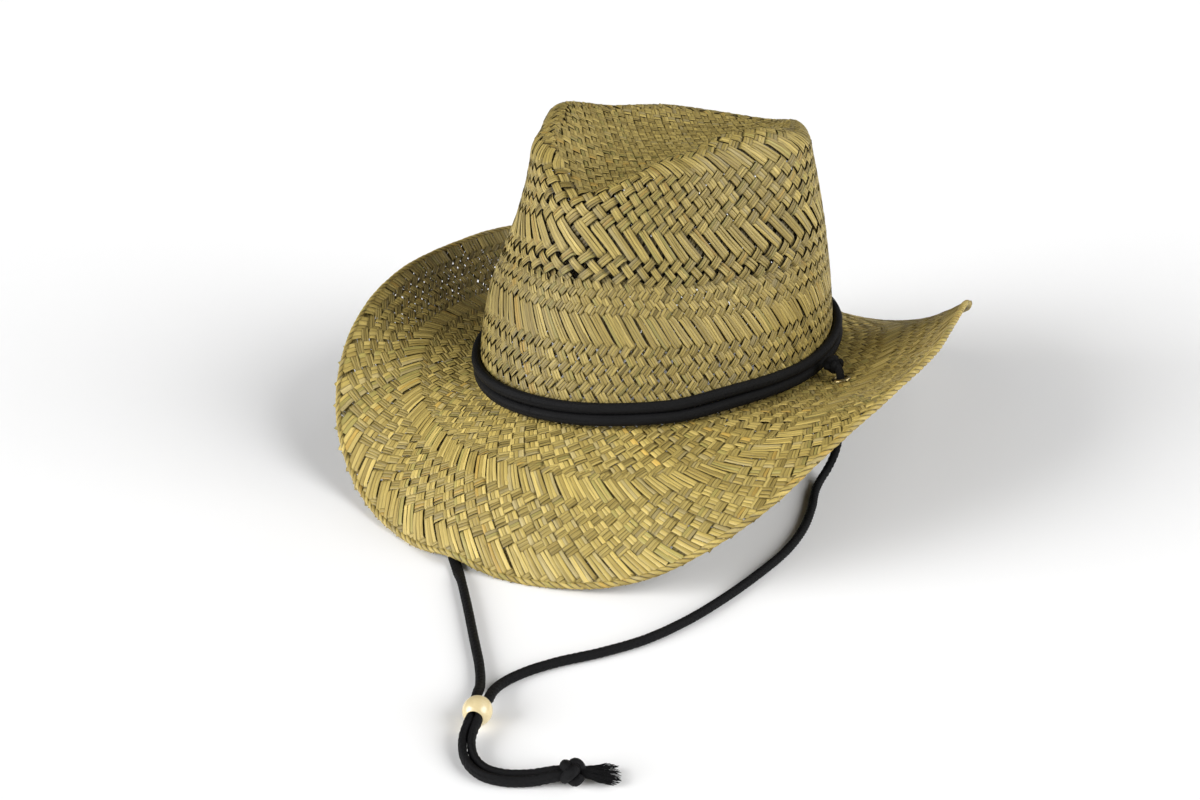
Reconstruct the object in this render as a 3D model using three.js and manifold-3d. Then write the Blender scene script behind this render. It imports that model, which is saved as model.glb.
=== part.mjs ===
// Straw western-style fedora with a doubled cord band and a chin cord, in millimetres.
// +Z is up and z = 0 is the surface that the hat rests on. The front of the hat faces -Y, the wearer's left is +X.
import * as THREE from 'three';
import { mergeVertices } from 'three/addons/utils/BufferGeometryUtils.js';
import Module from 'manifold-3d';

// ---- driving dimensions -------------------------------------------------------------------------------------------
const BASE_A = 105.8;       // half length of the crown's outer base oval (58 cm head size)
const BASE_B = 79.9;        // half width of the crown's outer base oval
const BASE_Z = 45.6;        // height of the oval where crown and brim meet
const SHIFT_Y = -0.93;      // puts the frame's origin under the middle of the hat
const STRAW = 1.9;          // thickness of the woven wall
const SEAM = 0.3;           // gap between neighbouring pieces
const EDGE_R = 2.6;         // radius of the rolled, braided edge of the brim
const REST_FLAT = 1.2;      // where the edge's underside is nearer the surface than this, it is flattened on it
const SHOULDER_R = 11.8;    // horizontal radius of the rounded rim of the crown
const SHOULDER_H = 9.1;     // vertical radius of the rounded rim of the crown
const SPINE_FRONT = -46;    // front end of the crease's middle line
const SPINE_BACK = 66;      // back end of the crease's middle line
const SPINE_Z_FRONT = 95;   // height of the crease's floor over the base at the front
const SPINE_Z_MID = 99;     // the same in the middle
const SPINE_Z_BACK = 100;   // the same at the back
const CREASE_POWER = 2.1;   // how steeply the crown falls from its rim into the crease
const BAND_TALL = 5.0;      // height of one band cord
const BAND_THICK = 4.4;     // thickness of one band cord
const CORD_D = 3.9;         // diameter of the chin cord
const CORD_Z = 2.2;         // height of the cord's centreline where it lies
const EYELET_DEG = 92.5;    // where round the brim the eyelets are
const EYELET_T = 18.2;      // distance of the eyelets from the crown, along the brim
const EYELET_FLANGE_R = 4.75;
const EYELET_BARREL_R = 3.3;
const EYELET_BORE_R = 2.65;
const EYELET_FLANGE_T = 0.5;
const BEAD_R = 5.5;
const BEAD_BORE_R = 2.9;
const PRESS_DEG = 0.0;      // where round the front edge the brim rides over the cord
const PRESS_HALF_DEG = 5.0; // half width of that rise
const PRESS_LIFT = 2.9;     // its height
const PRESS_KEEP = 0.62;    // how much of its height the cord keeps under the edge
const CROWN_STEPS = 64;     // divisions round the crown
const BRIM_STEPS = 80;      // divisions round the brim

// Brim, a row for each angle from the front: width along the surface, slope next to the crown, slope at the edge.
const BRIM_ROWS = [
  { deg: 0, width: 77.8, inner: -15.6, outer: -56.8 },
  { deg: 15, width: 78.2, inner: -20.4, outer: -51.8 },
  { deg: 30, width: 78.1, inner: -21.1, outer: -37.8 },
  { deg: 45, width: 76.5, inner: -4.6, outer: -16.4 },
  { deg: 60, width: 75.1, inner: 10.7, outer: 9.2 },
  { deg: 75, width: 75.3, inner: 7.2, outer: 34.3 },
  { deg: 90, width: 74.9, inner: 0.0, outer: 49.9 },
  { deg: 105, width: 72.3, inner: 5.1, outer: 48.6 },
  { deg: 120, width: 71.2, inner: 7.4, outer: 36.0 },
  { deg: 135, width: 74.8, inner: -8.3, outer: 20.6 },
  { deg: 150, width: 79.0, inner: -24.0, outer: 3.0 },
  { deg: 165, width: 79.3, inner: -24.9, outer: -29.1 },
  { deg: 180, width: 78.0, inner: -22.0, outer: -50.0 },
];

// Crown, a row for each angle from the front: distance of the rim from the middle, its height over the base, and how far
// the wall swells half way up.
const RIM_ROWS = [
  { deg: 0, radius: 62.9, height: 97.1, bulge: -2.5 },
  { deg: 15, radius: 59.0, height: 103.0, bulge: -2.5 },
  { deg: 30, radius: 55.2, height: 110.3, bulge: -2.0 },
  { deg: 45, radius: 52.1, height: 114.6, bulge: -1.0 },
  { deg: 60, radius: 48.3, height: 118.0, bulge: 0.5 },
  { deg: 75, radius: 50.1, height: 120.2, bulge: 2.0 },
  { deg: 90, radius: 55.3, height: 120.0, bulge: 2.8 },
  { deg: 105, radius: 58.1, height: 116.7, bulge: 2.8 },
  { deg: 120, radius: 59.2, height: 113.2, bulge: 2.8 },
  { deg: 135, radius: 61.7, height: 111.7, bulge: 2.8 },
  { deg: 150, radius: 69.4, height: 109.6, bulge: 2.8 },
  { deg: 165, radius: 83.5, height: 104.2, bulge: 2.8 },
  { deg: 180, radius: 92.5, height: 100.5, bulge: 2.8 },
];

// The wall is fuller on the right of its front: how far it stands out there, a row for each height up the wall.
const FULL_ROWS = [
  { up: 0.012, out: 0 }, { up: 0.12, out: 5.5 }, { up: 0.25, out: 7.5 }, { up: 0.4, out: 8.0 }, { up: 0.55, out: 5.2 },
  { up: 0.7, out: 1.8 }, { up: 0.86, out: 0 },
];
const FULL_DEG = -42;       // where round the crown it is fullest
const FULL_BACK = 46;       // how far that reaches towards the side
const FULL_FRONT = 75;      // how far it reaches round the front

// Routes of the cord, a row for each point of its centreline.
const LEFT_ROUTE = [
  { x: 99.3, y: 4.0, z: 36 }, { x: 99.7, y: 2.8, z: 24 }, { x: 99.3, y: 0.2, z: 13.5 }, { x: 98.2, y: -4.6, z: 6.2 },
  { x: 98.2, y: -12.5, z: 2.7 }, { x: 101.0, y: -23, z: CORD_Z }, { x: 107.2, y: -38.4, z: CORD_Z },
  { x: 113.4, y: -59, z: CORD_Z }, { x: 116.2, y: -80, z: CORD_Z }, { x: 115.6, y: -104, z: CORD_Z },
  { x: 113.2, y: -129, z: CORD_Z }, { x: 109.4, y: -150.5, z: CORD_Z }, { x: 103.2, y: -170, z: CORD_Z },
  { x: 93.8, y: -187, z: CORD_Z }, { x: 84.0, y: -201, z: CORD_Z }, { x: 77.6, y: -213.5, z: CORD_Z },
  { x: 75.5, y: -223.5, z: 2.6 }, { x: 77.3, y: -231.5, z: 4.2 },
];
const RIGHT_ROUTE = [
  { x: -99.3, y: 4.0, z: 36 }, { x: -99.7, y: 2.8, z: 24 }, { x: -99.3, y: 0.2, z: 13.5 }, { x: -98.4, y: -4.6, z: 6.2 },
  { x: -98.9, y: -12.5, z: 2.7 }, { x: -100.5, y: -24, z: CORD_Z }, { x: -101.5, y: -46, z: CORD_Z },
  { x: -96.5, y: -71, z: CORD_Z }, { x: -83.5, y: -97, z: CORD_Z }, { x: -62.5, y: -120, z: CORD_Z },
  { x: -37.5, y: -139, z: CORD_Z }, { x: -12.0, y: -156, z: CORD_Z }, { x: 10.0, y: -173.5, z: CORD_Z },
  { x: 25.5, y: -187.1, z: CORD_Z }, { x: 46.4, y: -206.4, z: CORD_Z }, { x: 61.5, y: -220.5, z: CORD_Z },
  { x: 69.6, y: -229.6, z: 2.9 }, { x: 73.2, y: -235.0, z: 4.4 },
];
const TAIL_ROUTE = [
  { x: 87.3, y: -257.3, z: 4.0 }, { x: 93.6, y: -263.4, z: 2.7 }, { x: 101.7, y: -266.0, z: 2.35 },
  { x: 110.1, y: -264.1, z: 2.35 }, { x: 117.6, y: -259.4, z: 2.7 }, { x: 123.9, y: -254.9, z: 4.2 },
];
const BEAD_AT = new THREE.Vector3(81.2, -244.5, BEAD_R);
const BEAD_AXIS = new THREE.Vector3(0.44, -0.898, 0).normalize();
const KNOT_AT = new THREE.Vector3(128.6, -251.3, 4.75);
const TASSEL_END = new THREE.Vector3(141.0, -239.7, 2.2);

// ---- shape functions ----------------------------------------------------------------------------------------------
const rad = THREE.MathUtils.degToRad;

// Smooth curve through a column of a table that is mirrored about its first and last rows.
function smooth(rows, column, deg) {
  let d = ((deg % 360) + 360) % 360;
  if (d > 180) d = 360 - d;
  const n = rows.length;
  const at = (i) => (i < 0 ? { x: -rows[-i].deg, y: rows[-i][column] }
    : i >= n ? { x: 360 - rows[2 * n - 2 - i].deg, y: rows[2 * n - 2 - i][column] }
      : { x: rows[i].deg, y: rows[i][column] });
  let i = 0;
  while (i < n - 2 && d > rows[i + 1].deg) i++;
  const p = [at(i - 1), at(i), at(i + 1), at(i + 2)];
  const slope = (a, b, c) => {
    const h0 = b.x - a.x, h1 = c.x - b.x;
    return ((b.y - a.y) / h0 * h1 + (c.y - b.y) / h1 * h0) / (h0 + h1);
  };
  const h = p[2].x - p[1].x, t = (d - p[1].x) / h;
  const m0 = slope(p[0], p[1], p[2]) * h, m1 = slope(p[1], p[2], p[3]) * h;
  const t2 = t * t, t3 = t2 * t;
  return (2 * t3 - 3 * t2 + 1) * p[1].y + (t3 - 2 * t2 + t) * m0 + (3 * t2 - 2 * t3) * p[2].y + (t3 - t2) * m1;
}

function basePoint(deg) {
  const s = Math.sin(rad(deg)), c = Math.cos(rad(deg));
  const point = new THREE.Vector3(BASE_B * s, -BASE_A * c, 0);
  const out = new THREE.Vector3(BASE_A * s, -BASE_B * c, 0).normalize();
  return { point, out };
}

// Middle surface of the brim at distance t from the crown, with its local slope.
function brimAt(deg, t) {
  const { point, out } = basePoint(deg);
  const width = smooth(BRIM_ROWS, 'width', deg);
  const a = rad(smooth(BRIM_ROWS, 'inner', deg)), b = rad(smooth(BRIM_ROWS, 'outer', deg));
  const bend = (b - a) / width;
  let run, rise, slope;
  if (t <= 0) {
    run = t; rise = 0; slope = 0;
  } else if (Math.abs(bend) < 1e-6) {
    run = t * Math.cos(a); rise = t * Math.sin(a); slope = a;
  } else {
    slope = a + bend * t;
    run = (Math.sin(slope) - Math.sin(a)) / bend;
    rise = (Math.cos(a) - Math.cos(slope)) / bend;
  }
  const turn = ((deg + 180) % 360 + 360) % 360 - 180 - PRESS_DEG;
  const near = THREE.MathUtils.smoothstep(t, width - 26, width);
  rise += PRESS_LIFT * Math.exp(-Math.pow(turn / PRESS_HALF_DEG, 2)) * near;
  return {
    at: point.clone().addScaledVector(out, run).setZ(BASE_Z + rise),
    out, slope, width,
  };
}

function offsetBrim(deg, t, d) {
  const q = brimAt(deg, t);
  return q.at.clone().addScaledVector(q.out, -Math.sin(q.slope) * d).add(new THREE.Vector3(0, 0, Math.cos(q.slope) * d));
}

function fullAt(turn, up) {
  const off = turn - FULL_DEG;
  const near = Math.min(Math.abs(off) / (off < 0 ? FULL_BACK : FULL_FRONT), 1);
  let out = 0;
  for (let i = 0; i < FULL_ROWS.length - 1; i++) {
    const a = FULL_ROWS[i], b = FULL_ROWS[i + 1];
    if (up >= a.up && up < b.up) out = THREE.MathUtils.lerp(a.out, b.out, (up - a.up) / (b.up - a.up));
  }
  return out * Math.cos(Math.PI / 2 * near) ** 2;
}

// Outer surface of the crown's wall: up = 0 at the base, 1 where the rounding of the rim begins.
function wallAt(deg, up) {
  const { point, out } = basePoint(deg);
  const polar = Math.atan2(point.x, -point.y);
  const turn = THREE.MathUtils.radToDeg(polar);
  const radius = smooth(RIM_ROWS, 'radius', turn), height = smooth(RIM_ROWS, 'height', turn);
  const foot = Math.hypot(point.x, point.y);
  const rho = foot + (radius + SHOULDER_R - foot) * up + smooth(RIM_ROWS, 'bulge', turn) * 4 * up * (1 - up)
    + fullAt(turn, up);
  const at = new THREE.Vector3(rho * Math.sin(polar), -rho * Math.cos(polar), BASE_Z + (height - SHOULDER_H) * up);
  return { at, out, polar, radius, height };
}

function shoulderAt(deg, turn) {
  const w = wallAt(deg, 1);
  const rho = w.radius + SHOULDER_R * Math.cos(turn);
  return new THREE.Vector3(rho * Math.sin(w.polar), -rho * Math.cos(w.polar),
    BASE_Z + w.height - SHOULDER_H + SHOULDER_H * Math.sin(turn));
}

// From the rim (u = 0) down into the crease's middle line (u = 1).
function creaseAt(deg, u) {
  const rim = shoulderAt(deg, Math.PI / 2);
  const w = wallAt(deg, 1);
  const k = (1 - Math.cos(w.polar)) / 2;
  const y = SPINE_FRONT + (SPINE_BACK - SPINE_FRONT) * k;
  const z = BASE_Z + (k < 0.5 ? THREE.MathUtils.lerp(SPINE_Z_FRONT, SPINE_Z_MID, 2 * k)
    : THREE.MathUtils.lerp(SPINE_Z_MID, SPINE_Z_BACK, 2 * k - 1));
  const fall = 1 - Math.pow(1 - u, CREASE_POWER);
  return new THREE.Vector3(rim.x * (1 - u), THREE.MathUtils.lerp(rim.y, y, u), THREE.MathUtils.lerp(rim.z, z, fall));
}

// ---- mesh helpers -------------------------------------------------------------------------------------------------
function geometryFrom(vertices, triangles) {
  const g = new THREE.BufferGeometry();
  g.setAttribute('position', new THREE.Float32BufferAttribute(vertices.flatMap((v) => [v.x, v.y, v.z]), 3));
  g.setIndex(triangles.flat());
  return g;
}

// Solid from closed sections: rings[i][j] runs round section j of ring i, both directions close on themselves.
function torus(rings) {
  const n = rings.length, m = rings[0].length, faces = [];
  for (let i = 0; i < n; i++) {
    for (let j = 0; j < m; j++) {
      const a = i * m + j, b = ((i + 1) % n) * m + j, c = ((i + 1) % n) * m + (j + 1) % m, d = i * m + (j + 1) % m;
      faces.push([a, b, c], [a, c, d]);
    }
  }
  return geometryFrom(rings.flat(), faces);
}

// Solid lofted through sections that each close on themselves, with a flat cap on each end.
function loft(sections) {
  const n = sections.length, m = sections[0].length, faces = [];
  for (let i = 0; i < n - 1; i++) {
    for (let j = 0; j < m; j++) {
      const a = i * m + j, b = (i + 1) * m + j, c = (i + 1) * m + (j + 1) % m, d = i * m + (j + 1) % m;
      faces.push([a, c, b], [a, d, c]);
    }
  }
  for (let j = 1; j < m - 1; j++) {
    faces.push([0, j + 1, j], [(n - 1) * m, (n - 1) * m + j, (n - 1) * m + j + 1]);
  }
  return geometryFrom(sections.flat(), faces);
}

function volume(g) {
  const p = g.getAttribute('position'), ix = g.getIndex();
  const a = new THREE.Vector3(), b = new THREE.Vector3(), c = new THREE.Vector3();
  let v = 0;
  for (let i = 0; i < ix.count; i += 3) {
    a.fromBufferAttribute(p, ix.getX(i)); b.fromBufferAttribute(p, ix.getX(i + 1)); c.fromBufferAttribute(p, ix.getX(i + 2));
    v += a.dot(b.cross(c)) / 6;
  }
  return v;
}

// Turns the faces outwards where a solid was built inside out.
function facingOut(g) {
  if (volume(g) < 0) {
    const ix = g.getIndex();
    for (let i = 0; i < ix.count; i += 3) {
      const b = ix.getX(i + 1);
      ix.setX(i + 1, ix.getX(i + 2));
      ix.setX(i + 2, b);
    }
  }
  return g;
}

function welded(g) {
  const plain = g.clone();
  plain.deleteAttribute('normal');
  plain.deleteAttribute('uv');
  return mergeVertices(plain, 1e-4);
}

const wasm = await Module();
wasm.setup();
function solidOf(g) {
  const w = facingOut(welded(g));
  return new wasm.Manifold(new wasm.Mesh({
    numProp: 3, vertProperties: new Float32Array(w.getAttribute('position').array),
    triVerts: new Uint32Array(w.getIndex().array),
  }));
}
function geometryOf(solid) {
  const mesh = solid.getMesh();
  const g = new THREE.BufferGeometry();
  g.setAttribute('position', new THREE.Float32BufferAttribute(mesh.vertProperties, 3));
  g.setIndex(Array.from(mesh.triVerts));
  return g;
}

// Tube with an oval section of given half height and half width along a smooth route.
function cordAlong(points, steps, halfHigh, halfWide) {
  const curve = new THREE.CatmullRomCurve3(points, false, 'centripetal');
  const section = new THREE.Shape();
  const sides = 8;
  for (let i = 0; i < sides; i++) {
    const t = (i + 0.5) / sides * 2 * Math.PI;
    const x = halfHigh / Math.cos(Math.PI / sides) * Math.cos(t), y = halfWide / Math.cos(Math.PI / sides) * Math.sin(t);
    if (i === 0) section.moveTo(x, y); else section.lineTo(x, y);
  }
  section.closePath();
  return welded(new THREE.ExtrudeGeometry(section, { steps, bevelEnabled: false, extrudePath: curve, curveSegments: 1 }));
}

// ---- crown --------------------------------------------------------------------------------------------------------
function makeCrown() {
  const rings = [];
  const foot = STRAW / 2 + SEAM;
  for (const up of [null, 0.12, 0.25, 0.4, 0.55, 0.7, 0.86, 1]) {
    rings.push((deg) => {
      const w = wallAt(deg, 1);
      return wallAt(deg, up === null ? foot / (w.height - SHOULDER_H) : up).at;
    });
  }
  for (const turn of [30, 60, 90]) rings.push((deg) => shoulderAt(deg, rad(turn)));
  for (const u of [0.14, 0.36, 0.66]) rings.push((deg) => creaseAt(deg, u));
  const n = rings.length, vertices = [], faces = [];
  for (let i = 0; i < n; i++) for (let j = 0; j < CROWN_STEPS; j++) vertices.push(rings[i](j * 360 / CROWN_STEPS));
  // The last ring closes on the crease's middle line, where the left and right halves share their points.
  const half = CROWN_STEPS / 2, spine = n * CROWN_STEPS;
  for (let j = 0; j <= half; j++) vertices.push(creaseAt(j * 360 / CROWN_STEPS, 1).setX(0));
  const last = (j) => spine + (j % CROWN_STEPS <= half ? j % CROWN_STEPS : CROWN_STEPS - (j % CROWN_STEPS));
  for (let i = 0; i < n; i++) {
    for (let j = 0; j < CROWN_STEPS; j++) {
      const k = (j + 1) % CROWN_STEPS;
      const a = i * CROWN_STEPS + j, d = i * CROWN_STEPS + k;
      const b = i < n - 1 ? a + CROWN_STEPS : last(j), c = i < n - 1 ? d + CROWN_STEPS : last(k);
      if (b !== c) faces.push([a, d, c], [a, c, b]); else faces.push([a, d, b]);
    }
  }
  const outer = geometryFrom(vertices, faces);
  outer.computeVertexNormals();
  const normal = outer.getAttribute('normal');
  // The inner skin lies one wall thickness under the outer one.
  const inner = vertices.map((v, i) => {
    const m = new THREE.Vector3().fromBufferAttribute(normal, i);
    const q = v.clone().addScaledVector(m, -STRAW);
    if (i < CROWN_STEPS) q.z = v.z;
    if (i >= spine) q.x = 0;
    return q;
  });
  const count = vertices.length, all = faces.slice();
  for (const [a, b, c] of faces) all.push([a + count, c + count, b + count]);
  for (let j = 0; j < CROWN_STEPS; j++) {
    const k = (j + 1) % CROWN_STEPS;
    all.push([j, j + count, k + count], [j, k + count, k]);
  }
  return facingOut(geometryFrom(vertices.concat(inner), all));
}

// ---- brim ---------------------------------------------------------------------------------------------------------
function eyeletFrame(side) {
  const deg = side * EYELET_DEG;
  const q = brimAt(deg, EYELET_T);
  const axis = new THREE.Vector3(0, 0, Math.cos(q.slope)).addScaledVector(q.out, -Math.sin(q.slope)).normalize();
  return { at: q.at, axis };
}

function makeBrim() {
  const rings = [];
  for (let i = 0; i < BRIM_STEPS; i++) {
    const deg = i * 360 / BRIM_STEPS;
    const end = smooth(BRIM_ROWS, 'width', deg) - 2 * EDGE_R - SEAM;
    const stops = [-STRAW, 0.02, 0.16, 0.34, 0.52, 0.7, 0.86, 1].map((f) => (f < 0 ? f : f * end));
    rings.push([
      ...stops.map((t) => offsetBrim(deg, t, STRAW / 2)),
      ...stops.reverse().map((t) => offsetBrim(deg, t, -STRAW / 2)),
    ]);
  }
  let solid = solidOf(torus(rings));
  for (const side of [1, -1]) {
    const { at, axis } = eyeletFrame(side);
    const drill = new THREE.CylinderGeometry(EYELET_BARREL_R + SEAM, EYELET_BARREL_R + SEAM, 16, 20);
    drill.applyQuaternion(new THREE.Quaternion().setFromUnitVectors(new THREE.Vector3(0, 1, 0), axis));
    drill.translate(at.x, at.y, at.z);
    solid = solid.subtract(solidOf(drill));
  }
  return geometryOf(solid);
}

function makeBrimEdge() {
  const sides = 8, rings = [];
  for (let i = 0; i < BRIM_STEPS; i++) {
    const deg = i * 360 / BRIM_STEPS;
    const q = brimAt(deg, smooth(BRIM_ROWS, 'width', deg) - EDGE_R);
    const ring = [];
    for (let j = 0; j < sides; j++) {
      const t = (j + 0.5) / sides * 2 * Math.PI;
      const v = q.at.clone().addScaledVector(q.out, EDGE_R * Math.cos(t));
      v.z += EDGE_R * Math.sin(t);
      if (v.z < REST_FLAT) v.z = 0;
      ring.push(v);
    }
    rings.push(ring);
  }
  return facingOut(torus(rings));
}

// ---- cord band ----------------------------------------------------------------------------------------------------
function bandCentre(deg, level) {
  const w = wallAt(deg, 1);
  const tall = w.height - SHOULDER_H;
  const low = wallAt(deg, 2 / tall), high = wallAt(deg, 14 / tall);
  const lean = Math.atan2(low.at.clone().sub(high.at).dot(low.out), 12);
  const rise = Math.max(-0.4, (BAND_THICK + SEAM) * Math.sin(rad(smooth(BRIM_ROWS, 'inner', deg))));
  const z = STRAW / 2 + SEAM + 0.7 + BAND_TALL / 2 + rise + level * (BAND_TALL + SEAM) * Math.cos(lean);
  const wall = wallAt(deg, z / tall);
  const across = wall.out.clone().multiplyScalar(Math.cos(lean)).setZ(Math.sin(lean));
  const along = wall.out.clone().multiplyScalar(-Math.sin(lean)).setZ(Math.cos(lean));
  return { at: wall.at.clone().addScaledVector(across, SEAM + 0.15 + BAND_THICK / 2), across, along };
}

function makeBand(level) {
  const sides = 8, rings = [];
  for (let i = 0; i < CROWN_STEPS; i++) {
    const c = bandCentre(i * 360 / CROWN_STEPS, level), ring = [];
    for (let j = 0; j < sides; j++) {
      const t = (j + 0.5) / sides * 2 * Math.PI, grow = 1 / Math.cos(Math.PI / sides);
      ring.push(c.at.clone().addScaledVector(c.across, BAND_THICK / 2 * grow * Math.cos(t))
        .addScaledVector(c.along, BAND_TALL / 2 * grow * Math.sin(t)));
    }
    rings.push(ring);
  }
  return facingOut(torus(rings));
}

function makeSideKnot(side) {
  const g = new THREE.SphereGeometry(1, 14, 9);
  g.rotateX(Math.PI / 2);
  g.scale(4.0, 4.6, 3.6);
  g.translate(side * 91.5, 8.5, BASE_Z + 8.6);
  return welded(g);
}

function makeEyelet(side) {
  const f = STRAW / 2 + SEAM + 0.3, h = f + EYELET_FLANGE_T;
  const profile = [
    [EYELET_BORE_R, -h], [EYELET_FLANGE_R, -h], [EYELET_FLANGE_R, -f], [EYELET_BARREL_R, -f], [EYELET_BARREL_R, f],
    [EYELET_FLANGE_R, f], [EYELET_FLANGE_R, h], [EYELET_BORE_R, h], [EYELET_BORE_R, -h],
  ].map(([r, y]) => new THREE.Vector2(r, y));
  const g = new THREE.LatheGeometry(profile, 20);
  const { at, axis } = eyeletFrame(side);
  g.applyQuaternion(new THREE.Quaternion().setFromUnitVectors(new THREE.Vector3(0, 1, 0), axis));
  g.translate(at.x, at.y, at.z);
  return facingOut(welded(g));
}

// ---- chin cord ----------------------------------------------------------------------------------------------------
const beadSide = new THREE.Vector3(-BEAD_AXIS.y, BEAD_AXIS.x, 0);

function makeChinCord(side) {
  const { at, axis } = eyeletFrame(side);
  const route = (side > 0 ? LEFT_ROUTE : RIGHT_ROUTE).map((p) => new THREE.Vector3(p.x, p.y, p.z));
  const mouth = BEAD_AT.clone().addScaledVector(BEAD_AXIS, -(BEAD_R + 0.5)).addScaledVector(beadSide, side * (CORD_D / 2 + 0.2));
  const points = [
    at.clone().addScaledVector(axis, 5.0), at.clone(), at.clone().addScaledVector(axis, -5.0), ...route, mouth,
  ];
  const g = cordAlong(points, side > 0 ? 38 : 44, CORD_D / 2, CORD_D / 2);
  if (side < 0) {
    // Pressed flat where the edge of the brim stands over it.
    const q = brimAt(PRESS_DEG, smooth(BRIM_ROWS, 'width', PRESS_DEG) - EDGE_R).at;
    const p = g.getAttribute('position');
    for (let i = 0; i < p.count; i++) {
      const d = Math.hypot(p.getX(i) - q.x, p.getY(i) - q.y);
      const keep = 1 - (1 - PRESS_KEEP) * (1 - THREE.MathUtils.smoothstep(d, 9, 20));
      if (p.getZ(i) < 8) p.setZ(i, p.getZ(i) * keep);
    }
  }
  return g;
}

function along(g, from, to, at) {
  g.applyQuaternion(new THREE.Quaternion().setFromUnitVectors(from, to));
  g.translate(at.x, at.y, at.z);
  return welded(g);
}

function makeBead() {
  const rows = [], start = Math.asin(BEAD_BORE_R / BEAD_R);
  for (let i = 0; i <= 12; i++) {
    const t = -Math.PI / 2 + start + (Math.PI - 2 * start) * i / 12;
    rows.push(new THREE.Vector2(BEAD_R * Math.cos(t), BEAD_R * Math.sin(t)));
  }
  rows.push(rows[0].clone());
  return facingOut(along(new THREE.LatheGeometry(rows, 22), new THREE.Vector3(0, 1, 0), BEAD_AXIS, BEAD_AT));
}

function makeBeadCore() {
  const r = BEAD_BORE_R - SEAM - 0.05;
  return along(new THREE.CylinderGeometry(r, r, 2 * (BEAD_R - 0.55), 12), new THREE.Vector3(0, 1, 0), BEAD_AXIS, BEAD_AT);
}

function makeTail() {
  const start = BEAD_AT.clone().addScaledVector(BEAD_AXIS, BEAD_R + 0.5);
  const points = [start, ...TAIL_ROUTE.map((p) => new THREE.Vector3(p.x, p.y, p.z))];
  return cordAlong(points, 10, 2.1, 2.9);
}

function makeEndKnot() {
  const g = new THREE.SphereGeometry(1, 12, 8);
  g.rotateX(Math.PI / 2);
  g.scale(4.9, 4.9, 4.6);
  g.translate(KNOT_AT.x, KNOT_AT.y, KNOT_AT.z);
  return welded(g);
}

function makeTassel() {
  const way = TASSEL_END.clone().sub(KNOT_AT).setZ(0).normalize(), wide = new THREE.Vector3(-way.y, way.x, 0);
  const rows = [
    { s: 5.3, half: 2.3, z: 3.9, high: 2.0 }, { s: 9.0, half: 3.6, z: 2.9, high: 2.2 },
    { s: 13.0, half: 5.8, z: 2.2, high: 2.0 }, { s: 17.2, half: 7.9, z: 1.9, high: 1.7 },
  ];
  return facingOut(loft(rows.map((r) => {
    const ring = [];
    for (let j = 0; j < 12; j++) {
      const t = j / 12 * 2 * Math.PI;
      ring.push(KNOT_AT.clone().addScaledVector(way, r.s).addScaledVector(wide, r.half * Math.cos(t)).setZ(r.z + r.high * Math.sin(t)));
    }
    return ring;
  })));
}

// ---- assembly -----------------------------------------------------------------------------------------------------
const straw = () => new THREE.MeshStandardMaterial({ color: 0xc0aa68, roughness: 0.75, metalness: 0 });
const cord = () => new THREE.MeshStandardMaterial({ color: 0x0b0b0d, roughness: 0.9, metalness: 0 });
const brass = () => new THREE.MeshStandardMaterial({ color: 0x9c8448, roughness: 0.35, metalness: 1 });
const wood = () => new THREE.MeshStandardMaterial({ color: 0xe6d6ad, roughness: 0.3, metalness: 0 });

const hat = new THREE.Group();
hat.position.set(0, SHIFT_Y, 0);
function add(name, geometry, material) {
  geometry.computeVertexNormals();
  const mesh = new THREE.Mesh(geometry, material);
  mesh.name = name;
  hat.add(mesh);
}

add('crown', makeCrown(), straw());
add('brim', makeBrim(), straw());
add('brim_edge', makeBrimEdge(), straw());
add('band_cord_lower', makeBand(0), cord());
add('band_cord_upper', makeBand(1), cord());
add('side_knot_left', makeSideKnot(1), cord());
add('side_knot_right', makeSideKnot(-1), cord());
add('eyelet_left', makeEyelet(1), brass());
add('eyelet_right', makeEyelet(-1), brass());
add('chin_cord_left', makeChinCord(1), cord());
add('chin_cord_right', makeChinCord(-1), cord());
add('cord_bead', makeBead(), wood());
add('bead_core', makeBeadCore(), cord());
add('tail_cord', makeTail(), cord());
add('end_knot', makeEndKnot(), cord());
add('tassel', makeTassel(), cord());

const part = new THREE.Group();
part.add(hat);
part.updateMatrixWorld(true);
export default part;
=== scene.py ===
import math

import bpy
import numpy as np
from mathutils import Matrix, Vector


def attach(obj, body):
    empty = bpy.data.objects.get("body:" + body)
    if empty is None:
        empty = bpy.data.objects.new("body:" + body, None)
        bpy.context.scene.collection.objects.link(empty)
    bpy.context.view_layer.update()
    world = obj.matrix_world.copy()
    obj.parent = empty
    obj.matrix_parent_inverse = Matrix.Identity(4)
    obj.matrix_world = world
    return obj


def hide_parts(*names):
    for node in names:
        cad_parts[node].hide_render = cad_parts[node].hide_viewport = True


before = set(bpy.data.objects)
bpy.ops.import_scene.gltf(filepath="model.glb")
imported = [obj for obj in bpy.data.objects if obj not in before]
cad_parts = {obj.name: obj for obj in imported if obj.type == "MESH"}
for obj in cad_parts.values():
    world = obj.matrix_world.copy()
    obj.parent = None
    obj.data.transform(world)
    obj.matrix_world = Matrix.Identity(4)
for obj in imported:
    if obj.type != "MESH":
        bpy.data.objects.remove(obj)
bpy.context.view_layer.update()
RNG = np.random.default_rng(58)

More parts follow.
